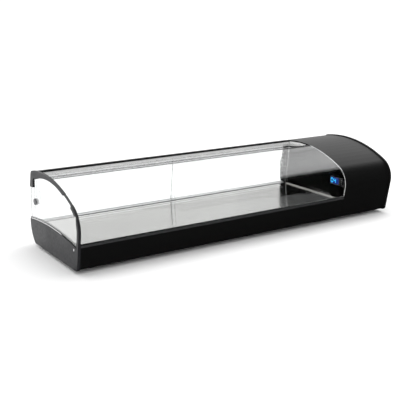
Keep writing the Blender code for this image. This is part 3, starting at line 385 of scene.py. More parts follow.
@dataclass(frozen=True)
class Paint(Finish):
    """Sprayed or powder-coated sheet with orange peel."""

    peel: float = 420.0
    depth: float = 0.00002
    dust: float = 0.05
    specular: float = 0.5

    def dress(self, shader: Shader, surface: bpy.types.NodeInputs) -> None:
        """Adds the peel, faint smears in the gloss and a little dust."""
        peel = effect(shader, Pattern.ORANGE_PEEL, Scale=self.peel)
        wave = effect(shader, Pattern.WAVINESS, Scale=7.0)["Height"]
        dust = effect(shader, Pattern.DUST, Amount=self.dust)["Mask"]
        lighter = shade(self.colour, 1.35, 0.002)
        base = shader.blend(peel["Mottle"], self.colour, lighter)
        shader.join(shader.blend(dust, base, (0.28, 0.27, 0.25)), surface["Base Color"])
        smears = effect(shader, Pattern.HANDLING, Scale=9.0)["Mask"]
        rough = shader.math("ADD", self.roughness, shader.math("MULTIPLY", smears, 0.12))
        mottled = shader.math("MULTIPLY", peel["Mottle"], 0.03)
        shader.join(shader.math("ADD", rough, mottled), surface["Roughness"])
        normal = shader.bump(wave, 0.0006, 0.25)
        shader.join(shader.bump(peel["Height"], self.depth, 0.5, normal), surface["Normal"])
        surface["Specular IOR Level"].default_value = self.specular


@dataclass(frozen=True)
class BrushedMetal(Finish):
    """Bare metal with the lines of rolling or brushing along the piece."""

    lines: float = 900.0
    depth: float = 0.00002
    spread: float = 0.10
    stain: float = 0.0

    def dress(self, shader: Shader, surface: bpy.types.NodeInputs) -> None:
        """Varies colour, gloss and height along the lines, with smears over them."""
        brushing = effect(shader, Pattern.BRUSHING, Scale=self.lines)
        darker = shade(self.colour, 0.86)
        base = shader.blend(brushing["Mottle"], darker, self.colour)
        smears = effect(shader, Pattern.HANDLING, Scale=6.0)["Mask"]
        stained = shade(self.colour, 1.0 - 0.5 * self.stain)
        shader.join(shader.blend(smears, base, stained), surface["Base Color"])
        low, high = self.roughness - self.spread / 2, self.roughness + self.spread / 2
        rough = shader.spread(brushing["Height"], 0.3, 0.7, low, high)
        shader.join(shader.math("ADD", rough, shader.math("MULTIPLY", smears, 0.10)), surface["Roughness"])
        shader.join(shader.bump(brushing["Height"], self.depth, 0.6), surface["Normal"])
        surface["Metallic"].default_value = 1.0


@dataclass(frozen=True)
class ClearSheet(Finish):
    """Clear glass or acrylic sheet with faint waves and smears."""

    index: float = 1.5
    wave: float = 0.0004
    edge_tint: Colour = (0.30, 0.38, 0.36)
    end_grain: bool = True

    def edge_mask(self, shader: Shader) -> Socket:
        """1 on the ground edges: normals along the case, or for an end pane all others."""
        split = shader.add("ShaderNodeSeparateXYZ")
        shader.join(shader.add("ShaderNodeNewGeometry").outputs["True Normal"], split.inputs[0])
        sideways = shader.math("ABSOLUTE", split.outputs["X"])
        bounds = (0.0, 1.0) if self.end_grain else (1.0, 0.0)
        return shader.spread(sideways, 0.6, 0.8, *bounds)

    def dress(self, shader: Shader, surface: bpy.types.NodeInputs) -> None:
        """Waves the surface a little, dulls it where it was wiped and darkens the ground edges."""
        smears = effect(shader, Pattern.HANDLING, Scale=5.0)["Mask"]
        haze = shader.math("MULTIPLY", smears, 0.004)
        shader.join(shader.math("ADD", self.roughness, haze), surface["Roughness"])
        wave = effect(shader, Pattern.WAVINESS, Scale=5.0)["Height"]
        shader.join(shader.bump(wave, self.wave, 0.2), surface["Normal"])
        tint = shader.noise(shader.place(), 2.0, 1.0)
        body = shader.blend(tint, self.colour, shade(self.colour, 1.01))
        shader.join(shader.blend(self.edge_mask(shader), body, self.edge_tint), surface["Base Color"])
        surface["Transmission Weight"].default_value = 1.0
        surface["IOR"].default_value = self.index


@dataclass(frozen=True)
class Foam(Finish):
    """Poured insulating foam with a cellular skin."""

    def dress(self, shader: Shader, surface: bpy.types.NodeInputs) -> None:
        """Cells in the height, and patches in the colour."""
        grain = effect(shader, Pattern.GRAIN, Scale=500.0)
        darker = shade(self.colour, 0.8)
        shader.join(shader.blend(grain["Mottle"], darker, self.colour), surface["Base Color"])
        shader.join(shader.spread(grain["Height"], 0.3, 0.7, 0.8, 0.95), surface["Roughness"])
        shader.join(shader.bump(grain["Height"], 0.0006, 0.8), surface["Normal"])


@dataclass(frozen=True)
class LitWindow(Finish):
    """Blue display window with a faint glow from behind."""

    glow: float = 0.45

    def dress(self, shader: Shader, surface: bpy.types.NodeInputs) -> None:
        """Shades the glow gently across the window."""
        patch = shader.noise(shader.place(), 30.0, 2.0)
        shader.join(shader.blend(patch, self.colour, shade(self.colour, 1.6)), surface["Base Color"])
        shader.join(shader.blend(patch, (0.004, 0.03, 0.30), (0.010, 0.06, 0.50)), surface["Emission Color"])
        surface["Emission Strength"].default_value = self.glow
        smears = effect(shader, Pattern.HANDLING, Scale=40.0)["Mask"]
        haze = shader.math("MULTIPLY", smears, 0.1)
        shader.join(shader.math("ADD", self.roughness, haze), surface["Roughness"])
        dimples = effect(shader, Pattern.ORANGE_PEEL, Scale=900.0)["Height"]
        shader.join(shader.bump(dimples, 0.000004, 0.3), surface["Normal"])


@dataclass(frozen=True)
class LitDigit(Finish):
    """Glowing segments on the display window, a little uneven from one end to the other."""

    glow: float = 1.6

    def dress(self, shader: Shader, surface: bpy.types.NodeInputs) -> None:
        """Shades the glow and the gloss of the segments."""
        patch = shader.noise(shader.place(), 120.0, 2.0)
        shader.join(shader.blend(patch, self.colour, (0.02, 0.62, 1.0)), surface["Emission Color"])
        shader.join(shader.blend(patch, self.colour, shade(self.colour, 0.8)), surface["Base Color"])
        rough = shader.spread(patch, 0.3, 0.7, self.roughness, self.roughness + 0.1)
        shader.join(rough, surface["Roughness"])
        surface["Emission Strength"].default_value = self.glow


MOULDED_BLACK = Moulding("moulded_black", (0.011, 0.011, 0.013), 0.40, specular=0.25)
# Painted shade: a darker, duller copy of the end caps' moulded black, which stands in for the shade on the
# far right end cap.
SHADED_END_CAP_BLACK = Moulding("deep_black", (0.0018, 0.0018, 0.002), 0.50, dust=0.01, specular=0.12)
WALL_BLACK = Paint("wall_black", (0.0012, 0.0012, 0.0014), 0.14, dust=0.003, specular=0.03)
GLOSS_BLACK = Paint("gloss_black", (0.0008, 0.0008, 0.001), 0.055, dust=0.003, specular=0.26)
SATIN_BLACK = Paint("satin_black", (0.018, 0.018, 0.019), 0.42, peel=900.0, depth=0.00005, dust=0.12)
SEAL_GREY = Moulding("seal_grey", (0.020, 0.020, 0.021), 0.55, grain=900.0)
RAIL_WHITE = Paint("rail_white", (0.93, 0.93, 0.92), 0.30, peel=700.0, dust=0.0)
TRIM_BLACK = Moulding("trim_black", (0.006, 0.006, 0.0065), 0.45, grain=1100.0, dust=0.03, specular=0.25)
DECK_STEEL = BrushedMetal("deck_steel", (0.50, 0.49, 0.475), 0.13, lines=1100.0, spread=0.06, stain=0.15)
BRIGHT_STEEL = BrushedMetal("bright_steel", (0.88,) * 3, 0.12, lines=1500.0, depth=0.000005, spread=0.04)
CLEAR_GLASS = (0.97, 0.985, 0.985)
CASE_GLASS = ClearSheet("case_glass", CLEAR_GLASS, 0.0, wave=0.00008)
PANE_GLASS = ClearSheet("pane_glass", CLEAR_GLASS, 0.0, edge_tint=(0.36, 0.42, 0.40), end_grain=False)
DOOR_ACRYLIC = ClearSheet("door_acrylic", (0.985, 0.99, 0.99), 0.01, index=1.45, wave=0.0008)
BUFFER_GREY = Moulding("buffer_grey", (0.11, 0.11, 0.115), 0.50, grain=1200.0)
FOOT_RUBBER = Moulding("foot_rubber", (0.015,) * 3, 0.75, grain=700.0, depth=0.0001, dust=0.3, sheen=0.1)
FOAM = Foam("insulating_foam", (0.80, 0.70, 0.46), 0.9)
COPPER = BrushedMetal("drawn_copper", (0.72, 0.36, 0.22), 0.28, lines=500.0, stain=0.7)
FIN_ALUMINIUM = BrushedMetal("fin_aluminium", (0.72, 0.72, 0.73), 0.38, lines=600.0)
ZINC = BrushedMetal("zinc_plate", (0.55, 0.56, 0.57), 0.42, lines=260.0, stain=0.3)
ENAMEL_BLACK = Paint("enamel_black", (0.010, 0.010, 0.011), 0.34, peel=260.0, depth=0.00006, dust=0.25)
FAN_GREY = Moulding("fan_grey", (0.06, 0.06, 0.065), 0.45, grain=1400.0)
KEY_GREY = Moulding("key_grey", (0.012, 0.012, 0.013), 0.42, grain=2600.0, specular=0.3)
MARK_GREY = Moulding("mark_grey", (0.28, 0.28, 0.29), 0.50, grain=2600.0)
# Paler grey. On the bezel rim it is a painted highlight along the bezel's edge; on the door edge seals it is
# the seals' own dark grey.
RIM_HIGHLIGHT_AND_SEAL_GREY = Moulding("rim_grey", (0.06, 0.06, 0.065), 0.35, grain=2600.0)
BLUE_WINDOW = LitWindow("blue_window", (0.004, 0.012, 0.12), 0.10)
CYAN_SEGMENT = LitDigit("cyan_segment", (0.01, 0.42, 0.85), 0.30)

NODE_FINISHES: dict[Finish, tuple[str, ...]] = {
    MOULDED_BLACK: (
        "left_end_cap", "left_top_bracket", "right_door_jamb",
        "fan_shroud", "terminal_cover", "mains_inlet", "switch_frame", "power_rocker", "controller_bezel",
    ),
    GLOSS_BLACK: ("front_fascia", "hood"),
    # The right end cap takes the darker copy of the moulded black as painted shade.
    SHADED_END_CAP_BLACK: ("right_end_cap",),
    WALL_BLACK: ("partition_wall",),
    SATIN_BLACK: ("base_pan", "vent_panel"),
    SEAL_GREY: ("glass_channel", "glass_seam", "left_arc_trim"),
    RAIL_WHITE: ("top_rail", "lower_track"),
    DECK_STEEL: ("deck_plate",),
    BRIGHT_STEEL: ("left_glazing_bead", "left_cap_screw", "right_cap_screw"),
    CASE_GLASS: ("front_glass", "top_glass"),
    PANE_GLASS: ("left_side_pane",),
    DOOR_ACRYLIC: ("left_door", "right_door", "left_door_jamb", "left_door_pull", "right_door_pull"),
    BUFFER_GREY: ("left_door_buffer", "left_buffer_cap", "right_door_buffer"),
    FOOT_RUBBER: (
        "foot_front_left", "foot_front_right", "foot_rear_left", "foot_rear_right",
        "compressor_grommet_1", "compressor_grommet_2", "compressor_grommet_3", "compressor_grommet_4",
    ),
    FOAM: ("insulation_block",),
    COPPER: ("evaporator_coil", "suction_line", "discharge_line", "liquid_line", "capillary", "filter_drier"),
    FIN_ALUMINIUM: ("condenser",),
    ZINC: ("fan_motor",),
    ENAMEL_BLACK: ("compressor",),
    FAN_GREY: ("fan_rotor",),
    KEY_GREY: ("controller_button_1", "controller_button_2", "controller_button_3"),
    BLUE_WINDOW: ("controller_lens",),
}


@dataclass
class CaseFinishes:
    """Gives every node of the case its finish."""

    finishes: dict[Finish, tuple[str, ...]] = field(default_factory=lambda: NODE_FINISHES)

    def apply(self) -> None:
        """Puts each finish on its nodes, in their material slots."""
        for finish, nodes in self.finishes.items():
            material = finish.material()
            for node in nodes:
                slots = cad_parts[node].data.materials
                slots.clear()
                slots.append(material)
            log.info("%s on %d nodes", finish.name, len(nodes))
        bare = set(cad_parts) - {node for nodes in self.finishes.values() for node in nodes}
        if bare:
            raise ValueError(f"nodes without a finish: {sorted(bare)}")


# ---------------------------------------------------------------- surfaces


Surface = tuple[np.ndarray, list[tuple[int, ...]]]
CRISP_ANGLE = math.radians(32.0)


def loft(rings: np.ndarray) -> Surface:
    """A closed skin over rings of points, with a flat face on the first and the last ring.

    Args:
        rings: Points as an array of ring, step and coordinate.

    Returns:
        The points, and faces that look outwards.
    """
    count, steps = rings.shape[:2]
    ring, step = np.meshgrid(np.arange(count - 1), np.arange(steps), indexing="ij")
    here, ahead = ring * steps + step, ring * steps + (step + 1) % steps
    quads = np.stack([here, ahead, ahead + steps, here + steps], axis=-1).reshape(-1, 4)
    ends = [tuple(range(steps))[::-1], tuple(range((count - 1) * steps, count * steps))]
    return facing_out(rings.reshape(-1, 3), [tuple(quad) for quad in quads.tolist()] + ends)


def facing_out(points: np.ndarray, faces: list[tuple[int, ...]]) -> Surface:
    """Turns every face over if the enclosed volume, summed over fans of triangles, is negative."""
    volume = 0.0
    for face in faces:
        corners = points[list(face)]
        fan = np.cross(corners[1:-1], corners[2:])
        volume += float((fan @ corners[0]).sum())
    return (points, faces) if volume > 0 else (points, [face[::-1] for face in faces])


def bar(section: Sequence[Point], start: Point, reach: Point, bevel: float = 0.0002) -> Surface:
    """A section swept along a straight reach, with its two ends drawn in by a small bevel.

    Args:
        section: Offsets of the outline from the start, as 3-D points.
        start: Where the sweep starts.
        reach: How far and in which direction it goes.
        bevel: How far the end faces are drawn in towards the section's middle.

    Returns:
        The closed surface: each ring is the section, shrunk at the ends, plus its share of the reach.
    """
    outline = np.array(section, float)
    reach = np.array(reach, float)
    length = float(np.linalg.norm(reach))
    middle = outline.mean(axis=0)
    size = float(np.linalg.norm(outline - middle, axis=1).max())
    shrink = 1.0 - min(0.4, bevel / size)
    shares = np.array([0.0, bevel / length, 1.0 - bevel / length, 1.0])
    scales = np.array([shrink, 1.0, 1.0, shrink])
    rings = middle + (outline - middle)[None] * scales[:, None, None] + shares[:, None, None] * reach
    return loft(rings + np.array(start, float))


def strip_along(section: Sequence[Point], left: float, right: float) -> Surface:
    """A (y, z) section swept along the case between two stations."""
    return bar([(0.0, y, z) for y, z in section], (left, 0.0, 0.0), (right - left, 0.0, 0.0))


def screw_head(centre: Point, outwards: Point, radius: float) -> Surface:
    """A domed screw head with a cross recess.

    The rings shrink from the rim to the middle and rise to half the radius. The cross sinks each
    point by exp(-(d / w) ** 4), with d its distance from the nearer arm's middle line and w half the
    arm's width, as far as the arms' ends.

    Args:
        centre: The middle of its seat.
        outwards: The direction that it faces.
        radius: Its radius.

    Returns:
        The closed surface.
    """
    shares = np.array([0.96, 1.0, 1.0, 0.94, 0.80, 0.62, 0.52, 0.40, 0.24, 0.10])
    rise = np.array([0.0, 0.0, 0.16, 0.26, 0.38, 0.46, 0.48, 0.49, 0.50, 0.50]) * radius
    half_width, arm_end, depth = 0.13, 0.58, 0.30 * radius
    angle = np.linspace(0.0, math.tau, 33)[:-1]
    x, y = shares[:, None] * np.cos(angle), shares[:, None] * np.sin(angle)
    arm = np.exp(-((np.minimum(np.abs(x), np.abs(y)) / half_width) ** 4)) * (np.hypot(x, y) < arm_end)
    height = rise[:, None] - depth * arm
    normal = np.array(outwards, float) / np.linalg.norm(outwards)
    across = np.cross(normal, (1.0, 0.0, 0.0) if abs(normal[0]) < 0.9 else (0.0, 1.0, 0.0))
    across /= np.linalg.norm(across)
    other = np.cross(normal, across)
    rings = radius * (x[..., None] * across + y[..., None] * other) + height[..., None] * normal
    return loft(rings + np.array(centre, float))


def link_mesh(name: str, points: list, faces: list, material: bpy.types.Material) -> bpy.types.Object:
    """Makes a mesh object of points and faces in one material, and links it to the scene."""
    mesh = bpy.data.meshes.new(name)
    mesh.from_pydata(points, [], faces)
    mesh.materials.append(material)
    made = bpy.data.objects.new(name, mesh)
    bpy.context.scene.collection.objects.link(made)
    return made


def make_piece(name: str, surfaces: Iterable[Surface], finish: Finish, body: str) -> None:
    """Joins closed surfaces in one object that rides on a body.

    Args:
        name: The object's name.
        surfaces: Its closed surfaces.
        finish: Its finish.
        body: The body that it rides on.
    """
    points, faces, offset = [], [], 0
    for part_points, part_faces in surfaces:
        points.append(part_points)
        faces += [tuple(corner + offset for corner in face) for face in part_faces]
        offset += len(part_points)
    piece = link_mesh(name, np.concatenate(points).tolist(), faces, finish.material())
    piece.data.shade_smooth()
    piece.data.set_sharp_from_angle(angle=CRISP_ANGLE)
    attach(piece, body)
    log.info("%s: %d faces on %s", name, len(faces), body)


# ---------------------------------------------------------------- added detail


@dataclass(frozen=True)
class RearFace:
    """The shell's rear face: an arc in (y, z) that the hood and the rear panel follow."""

    centre: tuple[float, float] = (-0.4080, 0.0927)
    radius: float = 0.6170

    def spot(self, x: float, z: float) -> tuple[tuple[float, float, float], tuple[float, float, float]]:
        """The point on the arc at a height, and the direction outwards there."""
        rise = z - self.centre[1]
        run = math.sqrt(self.radius**2 - rise**2)
        return (x, self.centre[0] + run, z), (0.0, run / self.radius, rise / self.radius)


@dataclass(frozen=True)
class DoorPlane:
    """The leaning frame of the sliding doors."""

    lean: float = math.radians(7.0)
    origin: tuple[float, float] = (0.1655, 0.1750)
    pitch: float = 0.012

    def point(self, across: float, up: float) -> tuple[float, float]:
        """(y, z) of a spot: across runs to the rear from the front door, up runs along the lean."""
        cosine, sine = math.cos(self.lean), math.sin(self.lean)
        return self.origin[0] + across * cosine - up * sine, self.origin[1] + across * sine + up * cosine

    def upright(self, section: Sequence[Point], low: float, high: float) -> Surface:
        """An (x, across) section swept up the lean."""
        start, end = self.point(0.0, low), self.point(0.0, high)
        points = [(x, *np.subtract(self.point(across, low), start)) for x, across in section]
        return bar(points, (0.0, *start), (0.0, end[0] - start[0], end[1] - start[1]))


@dataclass(frozen=True)
class Crown:
    """The shell's top line as a parabola in (y, z), and the flat top glass that runs below it."""

    peak: tuple[float, float] = (0.0830, 0.2857)
    radius: float = 0.54
    glass_start: tuple[float, float] = (0.0129, 0.2803)
    glass_fall: float = 0.105

    def shell(self, y: np.ndarray) -> np.ndarray:
        """Height of the shell: the peak less the offset squared over twice the radius."""
        return self.peak[1] - (y - self.peak[0]) ** 2 / (2.0 * self.radius)

    def glass(self, y: np.ndarray) -> np.ndarray:
        """Height of the top glass's upper face: a line that falls to the rear."""
        return self.glass_start[1] - self.glass_fall * (y - self.glass_start[0])


@dataclass(frozen=True)
class RailTrim:
    """Dark cap on the rail's front top corner, a lip under the rail and a pale seal at the hood's end."""

    thickness: float = 0.0010
    clearance: float = 0.00025
    skirt: float = 0.0062
    reach: float = 0.0260
    face_inset: float = 0.0055
    lip_inset: float = 0.0056
    lip_height: float = 0.0026
    seal_span: tuple[float, float] = (0.0380, 0.1445)
    seal_drop: float = 0.0052
    seal_gap: float = 0.0006

    def cap(self, crown: Crown) -> Surface:
        """Hook section: down the rail's front face, round its corner and back along the crown."""
        low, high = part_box("top_rail")
        front = low[1] + self.face_inset - self.clearance
        y = np.linspace(front, front + self.reach, 7)
        under = crown.shell(y) + self.clearance
        over = under + self.thickness
        inner = [(front, under[0] - self.skirt)] + list(zip(y, under))
        nose = front - self.thickness
        outer = list(zip(y[::-1], over[::-1]))[:-1] + [(front, over[0]), (nose + 0.0003, over[0] - 0.0002)]
        outer += [(nose, over[0] - 0.0010), (nose, under[0] - self.skirt + 0.0003)]
        return strip_along(inner + outer, low[0], high[0])

    def end_seal(self, crown: Crown) -> Surface:
        """Pale filler between top glass and hood: the glass line below, the lowered shell line above."""
        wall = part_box("hood")[0][0]
        y = np.linspace(*self.seal_span, 12)
        under, over = crown.glass(y) + self.seal_gap, crown.shell(y) - self.seal_drop
        section = list(zip(y, under)) + list(zip(y[::-1], over[::-1]))
        return strip_along(section, wall - 0.0009, wall - 0.0001)

    def build(self, crown: Crown) -> None:
        """Makes the cap and the lip along the whole rail, and the seal at its end."""
        low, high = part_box("top_rail")
        make_piece("rail_cap_strip", [self.cap(crown)], TRIM_BLACK, "case")
        front, base = low[1] + self.lip_inset, low[2]
        lip = [(front, base + 0.0004), (front + 0.0016, base - 0.0004), (front + 0.0024, base - 0.0012)]
        lip += [(front + 0.0006, base - self.lip_height + 0.0006), (front - 0.0008, base - 0.0010)]
        make_piece("rail_lip_strip", [strip_along(lip, low[0], high[0])], TRIM_BLACK, "case")
        make_piece("hood_end_seal", [self.end_seal(crown)], RAIL_WHITE, "case")


@dataclass(frozen=True)
class TrackTrim:
    """Slim dark joint between the deck's rear edge and the door track."""

    joint_rise: float = 0.0010
    overlap: float = 0.0016
    sheet: float = 0.0012
    gap: float = 0.0002

    def build(self) -> None:
        """Fills the gap with a coved joint."""
        deck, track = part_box("deck_plate"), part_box("lower_track")
        rear, face, top = deck[1][1], track[0][1], deck[0][2] + self.sheet
        foot = top - 0.0008
        cove = [(rear - self.overlap, top + self.gap), (rear + self.gap, foot), (face + self.gap, foot)]
        cove += [(face + self.gap, top + self.joint_rise), (face - 0.0014, top + 0.0006)]
        joint = strip_along(cove, track[0][0], track[1][0])
        make_piece("deck_rear_joint", [joint], TRIM_BLACK, "case")


@dataclass(frozen=True)
class DoorTrim:
    """Slim seals on the meeting edges of the doors, and a bright bead beside the right jamb."""

    low: float = -0.0800
    high: float = 0.0850
    width: float = 0.0012
    half: float = 0.0017
    gap: float = 0.0001
    bead: float = 0.0022
    bead_gap: float = 0.0003
    bead_front: float = -0.0100
    bead_span: tuple[float, float] = (-0.0850, 0.0840)

    def seal(self, edge: float, plane: float, side: int, doors: DoorPlane) -> Surface:
        """A seal on a door's end: a flat back and a nose that is drawn in."""
        tip, half, nose = edge + side * self.width, self.half, self.half * 0.5
        section = [(edge, plane - half), (tip, plane - nose), (tip, plane + nose), (edge, plane + half)]
        return doors.upright(section, self.low, self.high)

    def build(self, doors: DoorPlane) -> None:
        """Makes a seal that rides on each door, and the bead on the case."""
        left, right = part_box("left_door")[1][0] + self.gap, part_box("right_door")[0][0] - self.gap
        seal = self.seal(left, doors.pitch, 1, doors)
        make_piece("left_door_edge_seal", [seal], RIM_HIGHLIGHT_AND_SEAL_GREY, "left_door")
        seal = self.seal(right, 0.0, -1, doors)
        make_piece("right_door_edge_seal", [seal], RIM_HIGHLIGHT_AND_SEAL_GREY, "right_door")
        wall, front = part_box("partition_wall")[0][0] - self.bead_gap, self.bead_front
        turns = np.radians(np.linspace(0.0, 90.0, 6))
        arc = [(wall - self.bead * math.cos(turn), front - self.bead * math.sin(turn)) for turn in turns]
        bead = doors.upright([(wall, front), *arc], *self.bead_span)
        make_piece("jamb_bead", [bead], BRIGHT_STEEL, "case")


@dataclass(frozen=True)
class PaneTrim:
    """Slim edgings on the left side: one inside the pane along its rear edge and one on the clear jamb."""

    low: float = 0.1060
    high: float = 0.2360
    depth: float = 0.0026
    gap: float = 0.0003
    bead: float = 0.0012
    jamb_faces: tuple[float, float] = (0.0147, 0.0165)
    jamb_taper: float = 0.0005
    jamb_span: tuple[float, float] = (-0.0700, 0.0680)

    def edging(self, rear: RearFace) -> Surface:
        """A rounded section carried up the pane's rear edge, which runs parallel to the shell's rear arc."""
        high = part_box("left_side_pane")[1]
        inset = rear.centre[0] + rear.radius - high[1]
        turn = np.linspace(0.0, math.tau, 13)[:-1]
        across = high[0] + self.gap + self.bead / 2 * (1.0 + np.cos(turn))
        back = self.depth / 2 * (np.sin(turn) - 1.0)
        heights = np.linspace(self.low, self.high, 24)
        edge = rear.centre[0] + np.sqrt(rear.radius**2 - (heights - rear.centre[1]) ** 2) - inset
        rings = np.zeros((len(heights), len(turn), 3))
        rings[..., 0] = across
        rings[..., 1] = edge[:, None] + back
        rings[..., 2] = heights[:, None]
        return loft(rings)

    def build(self, rear: RearFace, doors: DoorPlane) -> None:
        """Makes both edgings."""
        make_piece("pane_rear_edging", [self.edging(rear)], TRIM_BLACK, "case")
        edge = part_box("left_door_jamb")[1][0] + self.gap
        front, back = self.jamb_faces
        tip, taper = edge + self.bead, self.jamb_taper
        section = [(edge, front), (tip, front + taper), (tip, back - taper), (edge, back)]
        strip = doors.upright(section, *self.jamb_span)
        make_piece("left_jamb_edging", [strip], TRIM_BLACK, "case")


class Digit(Enum):
    """Lit segments of a digit, clockwise from the top one, then the middle one."""

    ZERO = "1111110"
    FOUR = "0110011"


@dataclass(frozen=True)
class Display:
    """The controller's face: lit digits, a raised rim round the bezel in a paler grey that paints a highlight
    along its edge, and marks on the keys.
    """

    digit_width: float = 0.0105
    digit_height: float = 0.0165
    digit_step: float = 0.0158
    segment_gap: float = 0.08
    stroke: float = 0.0024
    relief: float = 0.0003
    rim_inset: float = 0.0016
    rim_half: tuple[float, float] = (0.0007, 0.0005)
    rim_power: float = 0.22

    def segment(self, x: float, start: Point, end: Point) -> Surface:
        """A pointed stroke between two (y, z) points, standing towards the customer's side of the wall."""
        first, last = np.array(start), np.array(end)
        along = (last - first) / np.linalg.norm(last - first)
        side = np.array([-along[1], along[0]]) * self.stroke / 2
        inset = along * self.stroke / 2
        near, far = first + inset, last - inset
        corners = [first, near + side, far + side, last, far - side, near - side]
        return bar([(0.0, y, z) for y, z in corners], (x, 0.0, 0.0), (-self.relief, 0.0, 0.0), 0.00005)

    def digit(self, shape: Digit, x: float, y: float, z: float) -> list[Surface]:
        """The lit segments of a digit centred on (y, z), read from the display side."""
        half, tall = self.digit_width / 2, self.digit_height / 2
        a, b, c = (y + half, z + tall), (y - half, z + tall), (y - half, z)
        d, e, f = (y - half, z - tall), (y + half, z - tall), (y + half, z)
        lines = ((a, b), (b, c), (c, d), (d, e), (e, f), (f, a), (f, c))
        lit = [np.array(pair) for pair, on in zip(lines, shape.value) if on == "1"]
        gap = self.segment_gap
        return [self.segment(x, p + gap * (q - p), q + gap * (p - q)) for p, q in lit]

    def rim(self) -> Surface:
        """A rounded rim round the bezel: an ellipse carried round a superellipse, both cos and sin curves."""
        steps, sides = 64, 8
        low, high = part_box("controller_bezel")
        middle = np.array([(low[1] + high[1]) / 2, (low[2] + high[2]) / 2])
        half = np.array([(high[1] - low[1]) / 2 - self.rim_inset, (high[2] - low[2]) / 2 - self.rim_inset])
        angle = np.linspace(0.0, math.tau, steps + 1)[:-1]
        outwards = np.stack([np.cos(angle), np.sin(angle)], axis=-1)
        outline = middle + half * np.sign(outwards) * np.abs(outwards) ** self.rim_power
        turn = np.linspace(0.0, math.tau, sides + 1)[:-1]
        wide, deep = self.rim_half
        ring = outline[:, None] + wide * np.cos(turn)[None, :, None] * outwards[:, None]
        depth = np.broadcast_to(low[0] - 0.0002 - deep * np.sin(turn)[None, :], ring.shape[:2])
        points = np.concatenate([depth[..., None], ring], axis=-1)
        step, side = np.meshgrid(np.arange(steps), np.arange(sides), indexing="ij")
        ahead, beside = (step + 1) % steps * sides, (side + 1) % sides
        corners = [step * sides + side, ahead + side, ahead + beside, step * sides + beside]
        quads = np.stack(corners, axis=-1).reshape(-1, 4)
        return facing_out(points.reshape(-1, 3), [tuple(quad) for quad in quads.tolist()])

    def build(self) -> None:
        """Makes the digits, the rim and the marks."""
        low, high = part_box("controller_lens")
        x, z = low[0] - 0.0001, (low[2] + high[2]) / 2
        first = high[1] - 0.0035 - self.digit_width / 2
        digits = self.digit(Digit.ZERO, x, first, z) + self.digit(Digit.FOUR, x, first - self.digit_step, z)
        make_piece("display_digits", digits, CYAN_SEGMENT, "case")
        # The rim's paler grey paints the highlight along the bezel's edge.
        make_piece("bezel_rim", [self.rim()], RIM_HIGHLIGHT_AND_SEAL_GREY, "case")
        mark, wide, tall = Display(stroke=0.0008, relief=0.00015), 0.0030, 0.0010
        for number, turn in ((1, 1.0), (2, 0.0), (3, -1.0)):
            low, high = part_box(f"controller_button_{number}")
            y, z = (low[1] + high[1]) / 2, (low[2] + high[2]) / 2
            tip, foot = z + turn * tall, z - turn * tall
            strokes = [((y + wide, foot), (y, tip)), ((y, tip), (y - wide, foot))]
            marks = [mark.segment(low[0] - 0.00005, *stroke) for stroke in strokes]
            make_piece(f"key_mark_{number}", marks, MARK_GREY, f"controller_button_{number}")


@dataclass(frozen=True)
class Fasteners:
    """Cross-recess screws that hold the rear panel, the hood, the fascia's lip and the pan."""

    panel_columns: tuple[float, ...] = (0.4575, 0.5730, 0.6890)
    panel_rows: tuple[float, ...] = (0.1060, 0.2290)
    hood_columns: tuple[float, ...] = (0.4700, 0.6760)
    hood_row: float = 0.2480
    head: float = 0.0031

    def build(self, rear: RearFace) -> None:
        """Places each group as one piece."""
        panel = [screw_head(*rear.spot(x, z), self.head) for x in self.panel_columns for z in self.panel_rows]
        make_piece("rear_panel_screws", panel, ZINC, "case")
        hood = [screw_head(*rear.spot(x, self.hood_row), self.head) for x in self.hood_columns]
        make_piece("hood_screws", hood, ZINC, "case")
        down = (0.0, 0.0, -1.0)
        fascia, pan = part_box("front_fascia"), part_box("base_pan")
        stations = np.linspace(fascia[0][0] + 0.06, fascia[1][0] - 0.04, 6)
        lip = [screw_head((x, fascia[1][1] - 0.0110, fascia[0][2]), down, self.head) for x in stations]
        make_piece("fascia_lip_screws", lip, ZINC, "case")
        stations = np.linspace(pan[0][0] + 0.04, pan[1][0] - 0.04, 7)
        skirt = [screw_head((x, 0.1180, pan[0][2]), down, self.head) for x in stations]
        make_piece("pan_screws", skirt, ZINC, "case")


# ---------------------------------------------------------------- studio


